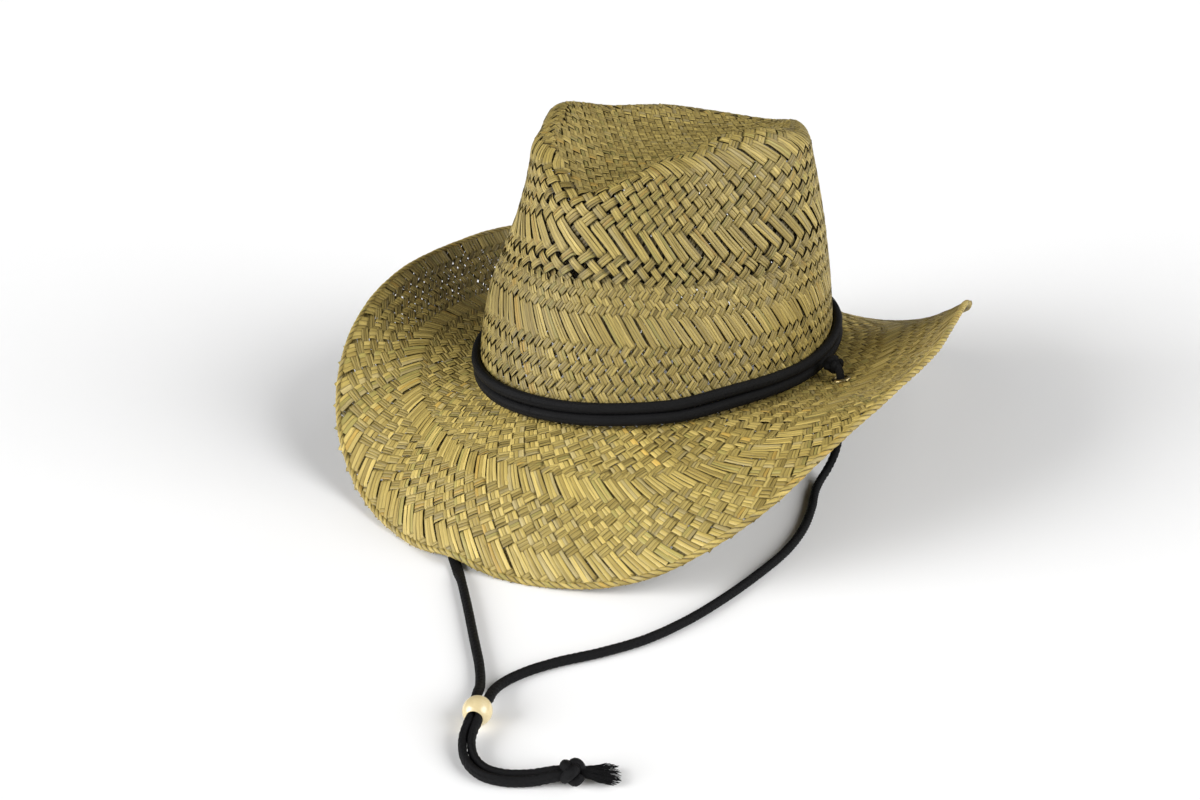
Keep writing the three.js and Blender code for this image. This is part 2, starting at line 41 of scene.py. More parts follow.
# ======================================================================================================================
# Shape of the hat, in millimetres, in the frame's own axes: +Z up, the front faces -Y, the wearer's left is +X
# ======================================================================================================================
BASE_A, BASE_B, BASE_Z = 105.8, 79.9, 45.6
SHIFT = np.array([0.0, -0.93, 0.0])
STRAW = 1.9
EDGE_R = 2.6
SEAM = 0.3
SHOULDER_R, SHOULDER_H = 11.8, 9.1
SPINE_FRONT, SPINE_BACK = -46.0, 66.0
SPINE_Z = (95.0, 99.0, 100.0)
CREASE_POWER = 2.1
BAND_TALL, BAND_THICK = 5.0, 4.4
CORD_D, CORD_Z = 3.9, 2.2
EYELET_DEG, EYELET_T = 92.5, 18.2
PRESS_DEG, PRESS_HALF, PRESS_LIFT, PRESS_KEEP = 0.0, 5.0, 2.9, 0.62
BEAD_R, BEAD_BORE_R = 5.5, 2.9

# Columns of the tables that part the hat every 15 degrees from the front to the back.
STEP = 15.0
WIDTH = [77.8, 78.2, 78.1, 76.5, 75.1, 75.3, 74.9, 72.3, 71.2, 74.8, 79.0, 79.3, 78.0]
INNER = [-15.6, -20.4, -21.1, -4.6, 10.7, 7.2, 0.0, 5.1, 7.4, -8.3, -24.0, -24.9, -22.0]
OUTER = [-56.8, -51.8, -37.8, -16.4, 9.2, 34.3, 49.9, 48.6, 36.0, 20.6, 3.0, -29.1, -50.0]
RADIUS = [62.9, 59.0, 55.2, 52.1, 48.3, 50.1, 55.3, 58.1, 59.2, 61.7, 69.4, 83.5, 92.5]
HEIGHT = [97.1, 103.0, 110.3, 114.6, 118.0, 120.2, 120.0, 116.7, 113.2, 111.7, 109.6, 104.2, 100.5]
BULGE = [-2.5, -2.5, -2.0, -1.0, 0.5, 2.0, 2.8, 2.8, 2.8, 2.8, 2.8, 2.8, 2.8]

# The wall is fuller on the right of its front: how far it stands out at each height.
FULL_UP = [0.012, 0.12, 0.25, 0.4, 0.55, 0.7, 0.86]
FULL_OUT = [0.0, 5.5, 7.5, 8.0, 5.2, 1.8, 0.0]
FULL_DEG, FULL_BACK, FULL_FRONT = -42.0, 46.0, 75.0


def smooth(col, deg):
    c = np.array(col, float)
    n = len(c)
    d = np.mod(np.asarray(deg, float), 360.0)
    d = np.where(d > 180, 360 - d, d)

    def at(i):
        i = np.where(i < 0, -i, i)
        return c[np.where(i >= n, 2 * n - 2 - i, i)]

    i = np.minimum((d // STEP).astype(int), n - 2)
    t = d / STEP - i
    p0, p1, p2, p3 = at(i - 1), at(i), at(i + 1), at(i + 2)
    m0, m1 = (p2 - p0) / 2, (p3 - p1) / 2
    return (2 * t**3 - 3 * t**2 + 1) * p1 + (t**3 - 2 * t**2 + t) * m0 + (3 * t**2 - 2 * t**3) * p2 + (t**3 - t**2) * m1


def ease(x, a, b):
    t = np.clip((np.asarray(x, float) - a) / (b - a), 0, 1)
    return t * t * (3 - 2 * t)


def unit(v):
    return v / np.maximum(np.linalg.norm(v, axis=-1, keepdims=True), 1e-12)


def base(deg):
    r = np.radians(deg)
    s, c = np.sin(r), np.cos(r)
    return np.stack([BASE_B * s, -BASE_A * c, 0 * s], -1), unit(np.stack([BASE_A * s, -BASE_B * c, 0 * s], -1))


def brim(deg, t):
    """Middle surface of the brim: point, outward direction, slope, width."""
    deg, t = np.broadcast_arrays(np.asarray(deg, float), np.asarray(t, float))
    p, out = base(deg)
    w = smooth(WIDTH, deg)
    a, b = np.radians(smooth(INNER, deg)), np.radians(smooth(OUTER, deg))
    k = (b - a) / w
    k = np.where(np.abs(k) < 1e-6, 1e-6, k)
    slope = np.where(t <= 0, 0, a + k * t)
    run = np.where(t <= 0, t, (np.sin(a + k * t) - np.sin(a)) / k)
    rise = np.where(t <= 0, 0, (np.cos(a) - np.cos(a + k * t)) / k)
    turn = np.mod(deg + 180, 360) - 180 - PRESS_DEG
    rise = rise + PRESS_LIFT * np.exp(-((turn / PRESS_HALF) ** 2)) * ease(t, w - 26, w)
    x = p + out * run[..., None]
    x[..., 2] = BASE_Z + rise
    return x, out, slope, w


def wall(deg, up):
    p, out = base(deg)
    pol = np.arctan2(p[..., 0], -p[..., 1])
    turn = np.degrees(pol)
    r, h = smooth(RADIUS, turn), smooth(HEIGHT, turn)
    foot = np.hypot(p[..., 0], p[..., 1])
    off = turn - FULL_DEG
    near = np.minimum(np.abs(off) / np.where(off < 0, FULL_BACK, FULL_FRONT), 1)
    full = np.interp(up, FULL_UP, FULL_OUT) * np.cos(np.pi / 2 * near) ** 2
    rho = foot + (r + SHOULDER_R - foot) * up + smooth(BULGE, turn) * 4 * up * (1 - up) + full
    x = np.stack([rho * np.sin(pol), -rho * np.cos(pol), BASE_Z + (h - SHOULDER_H) * up], -1)
    return x, out, pol, r, h


def shoulder(deg, turn):
    _, _, pol, r, h = wall(deg, 1.0)
    rho = r + SHOULDER_R * np.cos(turn)
    return np.stack([rho * np.sin(pol), -rho * np.cos(pol), BASE_Z + h - SHOULDER_H + SHOULDER_H * np.sin(turn)], -1)


def crease(deg, u):
    rim = shoulder(deg, np.pi / 2)
    _, _, pol, _, _ = wall(deg, 1.0)
    k = (1 - np.cos(pol)) / 2
    y = SPINE_FRONT + (SPINE_BACK - SPINE_FRONT) * k
    z = BASE_Z + np.where(k < 0.5, SPINE_Z[0] + (SPINE_Z[1] - SPINE_Z[0]) * 2 * k,
                          SPINE_Z[1] + (SPINE_Z[2] - SPINE_Z[1]) * (2 * k - 1))
    fall = 1 - (1 - u) ** CREASE_POWER
    return np.stack([rim[..., 0] * (1 - u), rim[..., 1] + (y - rim[..., 1]) * u, rim[..., 2] + (z - rim[..., 2]) * fall], -1)


# ======================================================================================================================
# Mesh helpers
# ======================================================================================================================
def new_object(name, me):
    ob = bpy.data.objects.new(name, me)
    bpy.context.scene.collection.objects.link(ob)
    return ob


def build(name, co_mm, quads=None, tris=None, normals=None, points=None, corners=None, uv=None, sharp=False):
    """Mesh object from arrays in millimetres. points is {attribute name: (kind, array)}; corners is not used."""
    me = bpy.data.meshes.new(name)
    co = (np.asarray(co_mm, float) + SHIFT) / 1000.0
    me.vertices.add(len(co))
    me.vertices.foreach_set("co", co.astype(np.float32).ravel())
    parts, starts, at = [], [], 0
    for f in (quads, tris):
        if f is not None and len(f):
            f = np.asarray(f, np.int32)
            parts.append(f.ravel())
            starts.append(at + np.arange(len(f), dtype=np.int32) * f.shape[1])
            at += f.size
    loops, starts = np.concatenate(parts), np.concatenate(starts)
    me.loops.add(len(loops))
    me.loops.foreach_set("vertex_index", loops)
    me.polygons.add(len(starts))
    me.polygons.foreach_set("loop_start", starts)
    me.polygons.foreach_set("use_smooth", np.full(len(starts), not sharp))
    me.update(calc_edges=True)
    if uv is not None:
        layer = me.uv_layers.new(name="OFBake", do_init=False)
        layer.uv.foreach_set("vector", np.asarray(uv, np.float32).ravel())
    for key, (kind, data) in (points or {}).items():
        attribute = me.attributes.new(key, kind, "POINT")
        attribute.data.foreach_set("color" if kind == "FLOAT_COLOR" else "vector" if kind == "FLOAT_VECTOR" else "value",
                                   np.asarray(data, np.float32).ravel())
    if normals is not None:
        me.normals_split_custom_set_from_vertices(np.asarray(normals, np.float32))
    return new_object(name, me)


def finish_piece(ob, material, slot, *nodes):
    ob.data.materials.clear()
    ob.data.materials.append(material)
    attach(ob, "root")
    if nodes:
        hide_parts(*nodes)
    return ob


# ======================================================================================================================
# Camera
# ======================================================================================================================
scene = bpy.context.scene
AZ, EL, ROLL = math.radians(36.32), math.radians(24.04), math.radians(-1.29)
BACK = np.array([0.541, -0.7358, 0.4073])
RIGHT = np.array([0.8109, 0.5848, -0.0206])
BACK = BACK / np.linalg.norm(BACK)
RIGHT = unit(RIGHT - BACK * RIGHT.dot(BACK))
UP = np.cross(BACK, RIGHT)
EYE = BACK * 689.0 + RIGHT * -32.4 + UP * -26.9 + np.array([0, 0, BASE_Z]) + SHIFT

cam_data = bpy.data.cameras.new("camera")
cam = bpy.data.objects.new("camera", cam_data)
scene.collection.objects.link(cam)
cam_data.sensor_fit = "HORIZONTAL"
cam_data.sensor_width = 36.0
cam_data.lens = 1343.96 / 1200 * 36.0
cam_data.clip_start, cam_data.clip_end = 0.01, 50
cam.matrix_world = Matrix(((RIGHT[0], UP[0], BACK[0], EYE[0] / 1000), (RIGHT[1], UP[1], BACK[1], EYE[1] / 1000),
                           (RIGHT[2], UP[2], BACK[2], EYE[2] / 1000), (0, 0, 0, 1)))
scene.camera = cam


# ======================================================================================================================
# Materials
# ======================================================================================================================
def material(name):
    m = bpy.data.materials.new(name)
    m.use_nodes = True
    nt = m.node_tree
    nt.nodes.clear()
    out = nt.nodes.new("ShaderNodeOutputMaterial")
    bsdf = nt.nodes.new("ShaderNodeBsdfPrincipled")
    nt.links.new(bsdf.outputs[0], out.inputs[0])
    return m, nt, bsdf


def node(nt, kind, inputs=None, **props):
    n = nt.nodes.new(kind)
    for k, v in props.items():
        setattr(n, k, v)
    for k, v in (inputs or {}).items():
        if isinstance(v, bpy.types.NodeSocket):
            nt.links.new(v, n.inputs[k])
        else:
            n.inputs[k].default_value = v
    return n


def attribute(nt, name):
    return node(nt, "ShaderNodeAttribute", attribute_name=name, attribute_type="GEOMETRY")


def maths(nt, op, a, b=0.0, clamp=False):
    return node(nt, "ShaderNodeMath", {0: a, 1: b}, operation=op, use_clamp=clamp).outputs[0]


def straw_material(name, bright=1.0):
    """fibre holds (across in mm, along in mm, a number for each strand); the colour attribute holds the strand's own
    colour with painted shade in the crevices and on the undersides multiplied in, and its alpha marks the edges where
    dark lines of painted shade fall.
    """
    m, nt, bsdf = material(name)
    fibre, tint_and_shade = attribute(nt, "fibre"), attribute(nt, "tint_and_shade")
    split = node(nt, "ShaderNodeSeparateXYZ", {0: fibre.outputs["Vector"]})
    across, along, seed = split.outputs
    # Fine fibres that run along the strand.
    lines = node(nt, "ShaderNodeCombineXYZ", {0: maths(nt, "MULTIPLY", across, 3.2), 1: maths(nt, "MULTIPLY", along, 0.10),
                                              2: maths(nt, "MULTIPLY", seed, 57.0)})
    fine = node(nt, "ShaderNodeTexNoise", {"Vector": lines.outputs[0], "Scale": 1.0, "Detail": 3.0, "Roughness": 0.6})
    # Slow change of colour and age along the strand.
    slow_at = node(nt, "ShaderNodeCombineXYZ", {0: maths(nt, "MULTIPLY", across, 0.5), 1: maths(nt, "MULTIPLY", along, 0.06),
                                                2: maths(nt, "MULTIPLY", seed, 31.0)})
    slow = node(nt, "ShaderNodeTexNoise", {"Vector": slow_at.outputs[0], "Scale": 1.0, "Detail": 2.0})
    shade = node(nt, "ShaderNodeMapRange", {0: fine.outputs[0], 1: 0.28, 2: 0.72, 3: 0.74, 4: 1.14})
    drift = node(nt, "ShaderNodeMapRange", {0: slow.outputs[0], 1: 0.3, 2: 0.7, 3: 0.86, 4: 1.12})
    # Painted shade: a dark line where a strand meets the next one.
    rim = maths(nt, "ABSOLUTE", maths(nt, "SUBTRACT", maths(nt, "MULTIPLY", tint_and_shade.outputs["Alpha"], 2.0), 1.0))
    line = node(nt, "ShaderNodeMapRange", {0: rim, 1: 0.72, 2: 0.98, 3: 1.0, 4: 0.42}, interpolation_type="SMOOTHSTEP")
    both = maths(nt, "MULTIPLY", maths(nt, "MULTIPLY", shade.outputs[0], drift.outputs[0]), line.outputs[0])
    colour = node(nt, "ShaderNodeVectorMath", {0: tint_and_shade.outputs["Color"], "Scale": both}, operation="SCALE")
    # A few brown flecks.
    fleck_at = node(nt, "ShaderNodeCombineXYZ", {0: maths(nt, "MULTIPLY", across, 0.9), 1: maths(nt, "MULTIPLY", along, 0.35),
                                                 2: maths(nt, "MULTIPLY", seed, 83.0)})
    fleck = node(nt, "ShaderNodeTexNoise", {"Vector": fleck_at.outputs[0], "Scale": 1.0, "Detail": 2.0})
    spots = node(nt, "ShaderNodeMapRange", {0: fleck.outputs[0], 1: 0.70, 2: 0.78, 3: 0.0, 4: 0.55})
    mix = node(nt, "ShaderNodeMix", {0: spots.outputs[0], 6: colour.outputs[0], 7: (0.16, 0.10, 0.035, 1)}, data_type="RGBA")
    nt.links.new(mix.outputs[2], bsdf.inputs["Base Color"])
    rough = node(nt, "ShaderNodeMapRange", {0: fine.outputs[0], 1: 0.3, 2: 0.7, 3: 0.62, 4: 0.44})
    nt.links.new(rough.outputs[0], bsdf.inputs["Roughness"])
    bsdf.inputs["Specular IOR Level"].default_value = 0.38
    bump = node(nt, "ShaderNodeBump", {"Strength": 0.55, "Distance": 0.00022, "Height": fine.outputs[0]})
    nt.links.new(bump.outputs[0], bsdf.inputs["Normal"])
    return m


def cord_material(name, colour=(0.0035, 0.0035, 0.0040)):
    """fibre holds (round the cord in mm, along it in mm, a number for each cord)."""
    m, nt, bsdf = material(name)
    fibre = attribute(nt, "fibre")
    split = node(nt, "ShaderNodeSeparateXYZ", {0: fibre.outputs["Vector"]})
    across, along, seed = split.outputs
    # Yarns of the braid, leaning both ways.
    lean = node(nt, "ShaderNodeCombineXYZ", {0: maths(nt, "ADD", across, maths(nt, "MULTIPLY", along, 0.8)),
                                             1: maths(nt, "SUBTRACT", across, maths(nt, "MULTIPLY", along, 0.8)), 2: seed})
    yarn = node(nt, "ShaderNodeTexChecker", {"Vector": lean.outputs[0], "Scale": 0.9})
    one = node(nt, "ShaderNodeMath", {0: maths(nt, "MULTIPLY", maths(nt, "ADD", across, maths(nt, "MULTIPLY", along, 0.8)), 11.0)}, operation="SINE")
    two = node(nt, "ShaderNodeMath", {0: maths(nt, "MULTIPLY", maths(nt, "SUBTRACT", across, maths(nt, "MULTIPLY", along, 0.8)), 11.0)}, operation="SINE")
    threads = node(nt, "ShaderNodeMix", {0: yarn.outputs["Fac"], 2: one.outputs[0], 3: two.outputs[0]}, data_type="FLOAT")
    fuzz = node(nt, "ShaderNodeTexNoise", {"Vector": fibre.outputs["Vector"], "Scale": 2.6, "Detail": 3.0})
    # Painted highlight and shade: the cord is lighter on the raised yarns of the braid and darker between them, while
    # the fuzz noise is the cord's own variation.
    high = maths(nt, "ADD", maths(nt, "MULTIPLY", threads.outputs[0], 0.5), maths(nt, "MULTIPLY", fuzz.outputs[0], 1.2))
    shade = node(nt, "ShaderNodeMapRange", {0: high, 1: -0.2, 2: 1.3, 3: 0.55, 4: 1.75})
    col = node(nt, "ShaderNodeVectorMath", {0: (colour[0], colour[1], colour[2]), "Scale": shade.outputs[0]}, operation="SCALE")
    nt.links.new(col.outputs[0], bsdf.inputs["Base Color"])
    bsdf.inputs["Roughness"].default_value = 0.62
    bsdf.inputs["Specular IOR Level"].default_value = 0.14
    bump = node(nt, "ShaderNodeBump", {"Strength": 0.6, "Distance": 0.00018, "Height": high})
    nt.links.new(bump.outputs[0], bsdf.inputs["Normal"])
    return m


def brass_material():
    m, nt, bsdf = material("worn_brass")
    where = node(nt, "ShaderNodeTexCoord")
    noise = node(nt, "ShaderNodeTexNoise", {"Vector": where.outputs["Object"], "Scale": 420.0, "Detail": 4.0})
    ramp = node(nt, "ShaderNodeMix", {0: noise.outputs[0], 6: (0.50, 0.39, 0.17, 1), 7: (0.78, 0.66, 0.36, 1)}, data_type="RGBA")
    nt.links.new(ramp.outputs[2], bsdf.inputs["Base Color"])
    rough = node(nt, "ShaderNodeMapRange", {0: noise.outputs[0], 1: 0.3, 2: 0.7, 3: 0.22, 4: 0.42})
    nt.links.new(rough.outputs[0], bsdf.inputs["Roughness"])
    bsdf.inputs["Metallic"].default_value = 1.0
    bump = node(nt, "ShaderNodeBump", {"Strength": 0.2, "Distance": 0.0001, "Height": noise.outputs[0]})
    nt.links.new(bump.outputs[0], bsdf.inputs["Normal"])
    return m


def wood_material():
    m, nt, bsdf = material("pale_wood")
    fibre = attribute(nt, "fibre")
    squeeze = node(nt, "ShaderNodeMapping", {"Vector": fibre.outputs["Vector"], "Scale": (0.22, 1.6, 1.6)})
    grain = node(nt, "ShaderNodeTexNoise", {"Vector": squeeze.outputs[0], "Scale": 1.1, "Detail": 4.0, "Roughness": 0.55, "Distortion": 0.4})
    mix = node(nt, "ShaderNodeMix", {0: grain.outputs[0], 6: (0.70, 0.59, 0.345, 1), 7: (0.56, 0.45, 0.235, 1)}, data_type="RGBA")
    nt.links.new(mix.outputs[2], bsdf.inputs["Base Color"])
    bsdf.inputs["Roughness"].default_value = 0.34
    bsdf.inputs["Coat Weight"].default_value = 0.7
    bsdf.inputs["Coat Roughness"].default_value = 0.12
    bump = node(nt, "ShaderNodeBump", {"Strength": 0.12, "Distance": 0.0002, "Height": grain.outputs[0]})
    nt.links.new(bump.outputs[0], bsdf.inputs["Normal"])
    return m


STRAW_MAT = straw_material("woven_rush")
CORD_MAT = cord_material("black_braid")
BRASS_MAT = brass_material()
WOOD_MAT = wood_material()


# ======================================================================================================================
# Cords
# ======================================================================================================================
def catmull(points, per=24):
    """Centripetal Catmull-Rom curve through the points."""
    p = np.array(points, float)
    p = np.vstack([2 * p[0] - p[1], p, 2 * p[-1] - p[-2]])
    out = []
    for i in range(1, len(p) - 2):
        a, b, c, d = p[i - 1], p[i], p[i + 1], p[i + 2]
        h0, h1, h2 = (max(np.linalg.norm(y - x) ** 0.5, 1e-4) for x, y in ((a, b), (b, c), (c, d)))
        m1 = ((b - a) / h0 - (c - a) / (h0 + h1) + (c - b) / h1) * h1
        m2 = ((c - b) / h1 - (d - b) / (h1 + h2) + (d - c) / h2) * h1
        t = np.linspace(0, 1, per, endpoint=False)[:, None]
        out.append((2 * t**3 - 3 * t**2 + 1) * b + (t**3 - 2 * t**2 + t) * m1 + (3 * t**2 - 2 * t**3) * c + (t**3 - t**2) * m2)
    return np.vstack(out + [p[-2:-1]])


def resample(p, step):
    s = np.concatenate([[0], np.cumsum(np.linalg.norm(np.diff(p, axis=0), axis=1))])
    n = max(2, int(round(s[-1] / step)) + 1)
    at = np.linspace(0, s[-1], n)
    return np.stack([np.interp(at, s, p[:, i]) for i in range(3)], 1), at


def transport(p, start=None, closed=False):
    """Frames that turn as little as they can along the path."""
    t = unit(np.roll(p, -1, 0) - np.roll(p, 1, 0)) if closed else unit(np.gradient(p, axis=0))
    a = np.array(start if start is not None else (0, 0, 1.0))
    if abs(a @ t[0]) > 0.9:
        a = np.array([1.0, 0, 0])
    n = np.empty_like(t)
    n[0] = unit(a - t[0] * (a @ t[0]))
    for i in range(1, len(t)):
        v = n[i - 1] - t[i] * (n[i - 1] @ t[i])
        n[i] = v / np.linalg.norm(v)
    return t, n, np.cross(t, n)


def braid_height(around, along, plaits, pitch):
    """0 to 1: the tops of a braid's plaits, over and under each other. around is in turns, along in mm."""
    u, v = around * plaits + along / pitch, around * plaits - along / pitch
    fu, fv = u - np.floor(u), v - np.floor(v)
    even = np.mod(np.floor(u) + np.floor(v), 2) < 0.5
    across, run = np.where(even, fu, fv), np.where(even, fv, fu)
    return np.sqrt(np.clip(1 - (2 * across - 1) ** 2, 0, 1)) * (0.62 + 0.38 * np.sin(np.pi * run))


def ring_faces(n, m, closed):
    i, j = np.meshgrid(np.arange(n if closed else n - 1), np.arange(m), indexing="ij")
    k, l = (i + 1) % n, (j + 1) % m
    return np.stack([i * m + j, i * m + l, k * m + l, k * m + j], -1).reshape(-1, 4)


def ring_uv(n, m, closed):
    i, j = np.meshgrid(np.arange(n if closed else n - 1), np.arange(m), indexing="ij")
    last = n if closed else n - 1
    u0, u1, v0, v1 = i / last, (i + 1) / last, j / m, (j + 1) / m
    return np.stack([np.stack([u0, v0], -1), np.stack([u0, v1], -1), np.stack([u1, v1], -1), np.stack([u1, v0], -1)], -2).reshape(-1, 4, 2)


def tube(path, radius, sides, plaits=4, pitch=3.2, depth=0.16, closed=False, squeeze=None, seed=0.3, floor=0.12, phase=0.0, frames=None):
    """Braided tube: squeeze(along) gives the factors across (level) and upright. Returns vertices, quads, tris, attributes, uv."""
    along = np.concatenate([[0], np.cumsum(np.linalg.norm(np.diff(path, axis=0), axis=1))])
    t, n, b = frames if frames is not None else transport(path, closed=closed)
    a = np.arange(sides) / sides
    if closed:
        total = along[-1] + np.linalg.norm(path[0] - path[-1])
        pitch = total / max(1, round(total / pitch / 2)) / 2
    h = braid_height(a[None] + phase, along[:, None], plaits, pitch)
    r = np.broadcast_to(np.asarray(radius, float), (len(path),))[:, None] - depth + depth * h
    off = r[..., None] * (np.cos(2 * np.pi * a)[None, :, None] * n[:, None] + np.sin(2 * np.pi * a)[None, :, None] * b[:, None])
    if squeeze is not None:
        side = np.cross([0, 0, 1.0], t)
        size = np.linalg.norm(side, axis=1, keepdims=True)
        side = np.where(size > 0.05, side / np.maximum(size, 1e-6), n)
        top = np.cross(t, side)
        kl, ku = squeeze(along)
        a1, a2 = (off * side[:, None]).sum(-1), (off * top[:, None]).sum(-1)
        off = off + side[:, None] * (a1 * (kl[:, None] - 1))[..., None] + top[:, None] * (a2 * (ku[:, None] - 1))[..., None]
    v = path[:, None] + off
    if floor is not None:
        v[..., 2] = np.maximum(v[..., 2], floor)
    fibre = np.stack(np.broadcast_arrays(a[None] * 2 * np.pi * 2.0, along[:, None], seed), -1)
    quads, uv, tris = ring_faces(len(path), sides, closed), ring_uv(len(path), sides, closed), None
    v, fibre = v.reshape(-1, 3), fibre.reshape(-1, 3)
    if not closed:
        base_i = len(v)
        v = np.vstack([v, path[:1] - t[:1] * 0.5, path[-1:] + t[-1:] * 0.5])
        if floor is not None:
            v[-2:, 2] = np.maximum(v[-2:, 2], floor)
        fibre = np.vstack([fibre, [[0, 0, seed]], [[0, along[-1], seed]]])
        j = np.arange(sides)
        k = (j + 1) % sides
        e = (len(path) - 1) * sides
        tris = np.vstack([np.stack([np.full(sides, base_i), k, j], -1), np.stack([np.full(sides, base_i + 1), e + j, e + k], -1)])
        tri_uv = np.zeros((len(tris), 3, 2))
        tri_uv[..., 0] = np.array([0.0, 0.001, 0.001])
        tri_uv[:, 1, 1], tri_uv[:, 2, 1] = 0.0, 0.001
        uv = np.concatenate([uv.reshape(-1, 2), tri_uv.reshape(-1, 2)])
    return v, quads, tris, fibre, uv.reshape(-1, 2)


def join(parts):
    """Joins (v, quads, tris, fibre, uv) parts into one."""
    v, q, t, f, uq, ut, at = [], [], [], [], [], [], 0
    for p in parts:
        v.append(p[0])
        q.append(p[1] + at)
        uq.append(p[4][: p[1].size])
        if p[2] is not None:
            t.append(p[2] + at)
            ut.append(p[4][p[1].size:])
        f.append(p[3])
        at += len(p[0])
    return (np.vstack(v), np.vstack(q), np.vstack(t) if t else None, np.vstack(f), np.vstack(uq + ut))


def piece(name, part, mat, slot, *nodes):
    v, q, t, f, uv = part
    return finish_piece(build(name, v, q, t, points={"fibre": ("FLOAT_VECTOR", f)}), mat, slot, *nodes)


def eyelet_frame(side):
    p, out, slope, _ = brim(np.array([side * EYELET_DEG]), np.array([EYELET_T]))
    return p[0], unit(np.array([0, 0, math.cos(slope[0])]) - out[0] * math.sin(slope[0]))


LEFT_ROUTE = [
    (99.3, 4.0, 36), (99.7, 2.8, 24), (99.3, 0.2, 13.5), (98.2, -4.6, 6.2), (98.2, -12.5, 2.7), (101.0, -23, CORD_Z),
    (107.2, -38.4, CORD_Z), (113.4, -59, CORD_Z), (116.2, -80, CORD_Z), (115.6, -104, CORD_Z), (113.2, -129, CORD_Z),
    (109.4, -150.5, CORD_Z), (103.2, -170, CORD_Z), (93.8, -187, CORD_Z), (84.0, -201, CORD_Z), (77.6, -213.5, CORD_Z),
    (75.5, -223.5, 2.6), (77.3, -231.5, 4.2),
]
RIGHT_ROUTE = [
    (-99.3, 4.0, 36), (-99.7, 2.8, 24), (-99.3, 0.2, 13.5), (-98.4, -4.6, 6.2), (-98.9, -12.5, 2.7), (-100.5, -24, CORD_Z),
    (-101.5, -46, CORD_Z), (-96.5, -71, CORD_Z), (-83.5, -97, CORD_Z), (-62.5, -120, CORD_Z), (-37.5, -139, CORD_Z),
    (-12.0, -156, CORD_Z), (10.0, -173.5, CORD_Z), (25.5, -187.1, CORD_Z), (46.4, -206.4, CORD_Z), (61.5, -220.5, CORD_Z),
    (69.6, -229.6, 2.9), (73.2, -235.0, 4.4),
]
TAIL_ROUTE = [(87.3, -257.3, 4.0), (93.6, -263.4, 2.7), (101.7, -266.0, 2.35), (110.1, -264.1, 2.35), (117.6, -259.4, 2.7),
              (123.9, -254.9, 4.2)]
BEAD_AT = np.array([81.2, -244.5, BEAD_R])
BEAD_AXIS = unit(np.array([0.44, -0.898, 0]))
BEAD_SIDE = np.array([-BEAD_AXIS[1], BEAD_AXIS[0], 0])
KNOT_AT = np.array([128.6, -251.3, 4.75])
TASSEL_END = np.array([141.0, -239.7, 2.2])
SIDE_KNOT = np.array([91.5, 8.5, BASE_Z + 8.6])


def chin_path(side):
    at, axis = eyelet_frame(side)
    route = [np.array(p, float) for p in (LEFT_ROUTE if side > 0 else RIGHT_ROUTE)]
    mouth = BEAD_AT - BEAD_AXIS * (BEAD_R + 0.5) + BEAD_SIDE * side * (CORD_D / 2 + 0.2)
    knot = SIDE_KNOT * np.array([side, 1, 1])
    head = [knot + np.array([side * 1.6, -1.2, 1.2]), at + axis * 5.4 + np.array([-side * 0.6, 0.6, 0]), at + axis * 1.0, at - axis * 5.0]
    inside = [BEAD_AT - BEAD_AXIS * 3.6 + BEAD_SIDE * side * 1.42, BEAD_AT + BEAD_SIDE * side * 1.36, BEAD_AT + BEAD_AXIS * 3.6 + BEAD_SIDE * side * 1.42]
    first = BEAD_AT + BEAD_AXIS * (BEAD_R + 0.5)
    tail = [first] + [np.array(p, float) for p in TAIL_ROUTE]
    way = unit(np.gradient(np.array(tail), axis=0) * np.array([1, 1, 0]))
    lateral = np.stack([-way[:, 1], way[:, 0], 0 * way[:, 0]], 1)
    # The two strands lie side by side in the tail.
    spread = np.array([1.5, 1.55, 1.6, 1.6, 1.6, 1.6, 1.35])
    tail = [p + l * side * s * np.sign(l @ BEAD_SIDE if i < 2 else 1.0) for i, (p, l, s) in enumerate(zip(tail, lateral, spread))]
    end = KNOT_AT + np.array([-1.6, -0.9, -0.3]) + lateral[-1] * side * 1.1
    path = catmull(head + route + [mouth] + inside + tail + [end])
    path, along = resample(path, 0.8)
    if side < 0:
        q = brim(np.array([PRESS_DEG]), smooth(WIDTH, np.array([PRESS_DEG])) - EDGE_R)[0][0]
        d = np.hypot(path[:, 0] - q[0], path[:, 1] - q[1])
        keep = 1 - (1 - PRESS_KEEP) * (1 - ease(d, 9, 20))
        path[:, 2] = np.where(path[:, 2] < 8, path[:, 2] * keep, path[:, 2])
    return path, along


def chin_squeeze(path, side):
    to_bead = (path - BEAD_AT) @ BEAD_AXIS
    near = (np.linalg.norm(path - BEAD_AT, axis=1) < 16)
    inside = np.where(near, 1 - ease(np.abs(to_bead), 4.2, 6.8), 0)
    beyond = np.where(path[:, 1] < -249, ease(to_bead, 5.0, 9.0), 0) * (np.linalg.norm(path - BEAD_AT, axis=1) < 80)
    q = brim(np.array([PRESS_DEG]), smooth(WIDTH, np.array([PRESS_DEG])) - EDGE_R)[0][0]
    d = np.hypot(path[:, 0] - q[0], path[:, 1] - q[1])
    pressed = (1 - ease(d, 9, 20)) * (path[:, 2] < 8) if side < 0 else 0 * d

    def squeeze(along):
        level = 1 - 0.30 * inside - 0.20 * np.maximum(beyond - inside, 0) + 0.25 * pressed
        upright = 1 + 0.18 * inside + 0.08 * np.maximum(beyond - inside, 0) - (1 - PRESS_KEEP) * pressed
        return level, upright
    return squeeze


cords = {}
for side, name in ((1, "left"), (-1, "right")):
    path, along = chin_path(side)
    part = tube(path, CORD_D / 2 + 0.12, 16, plaits=4, pitch=2.6, depth=0.46, squeeze=chin_squeeze(path, side), seed=0.37 * side)
    cords[name] = (piece("chin_cord_%s_braid" % name, part, CORD_MAT, "cord", "chin_cord_" + name), path, float(along[-1]))
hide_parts("tail_cord", "bead_core")


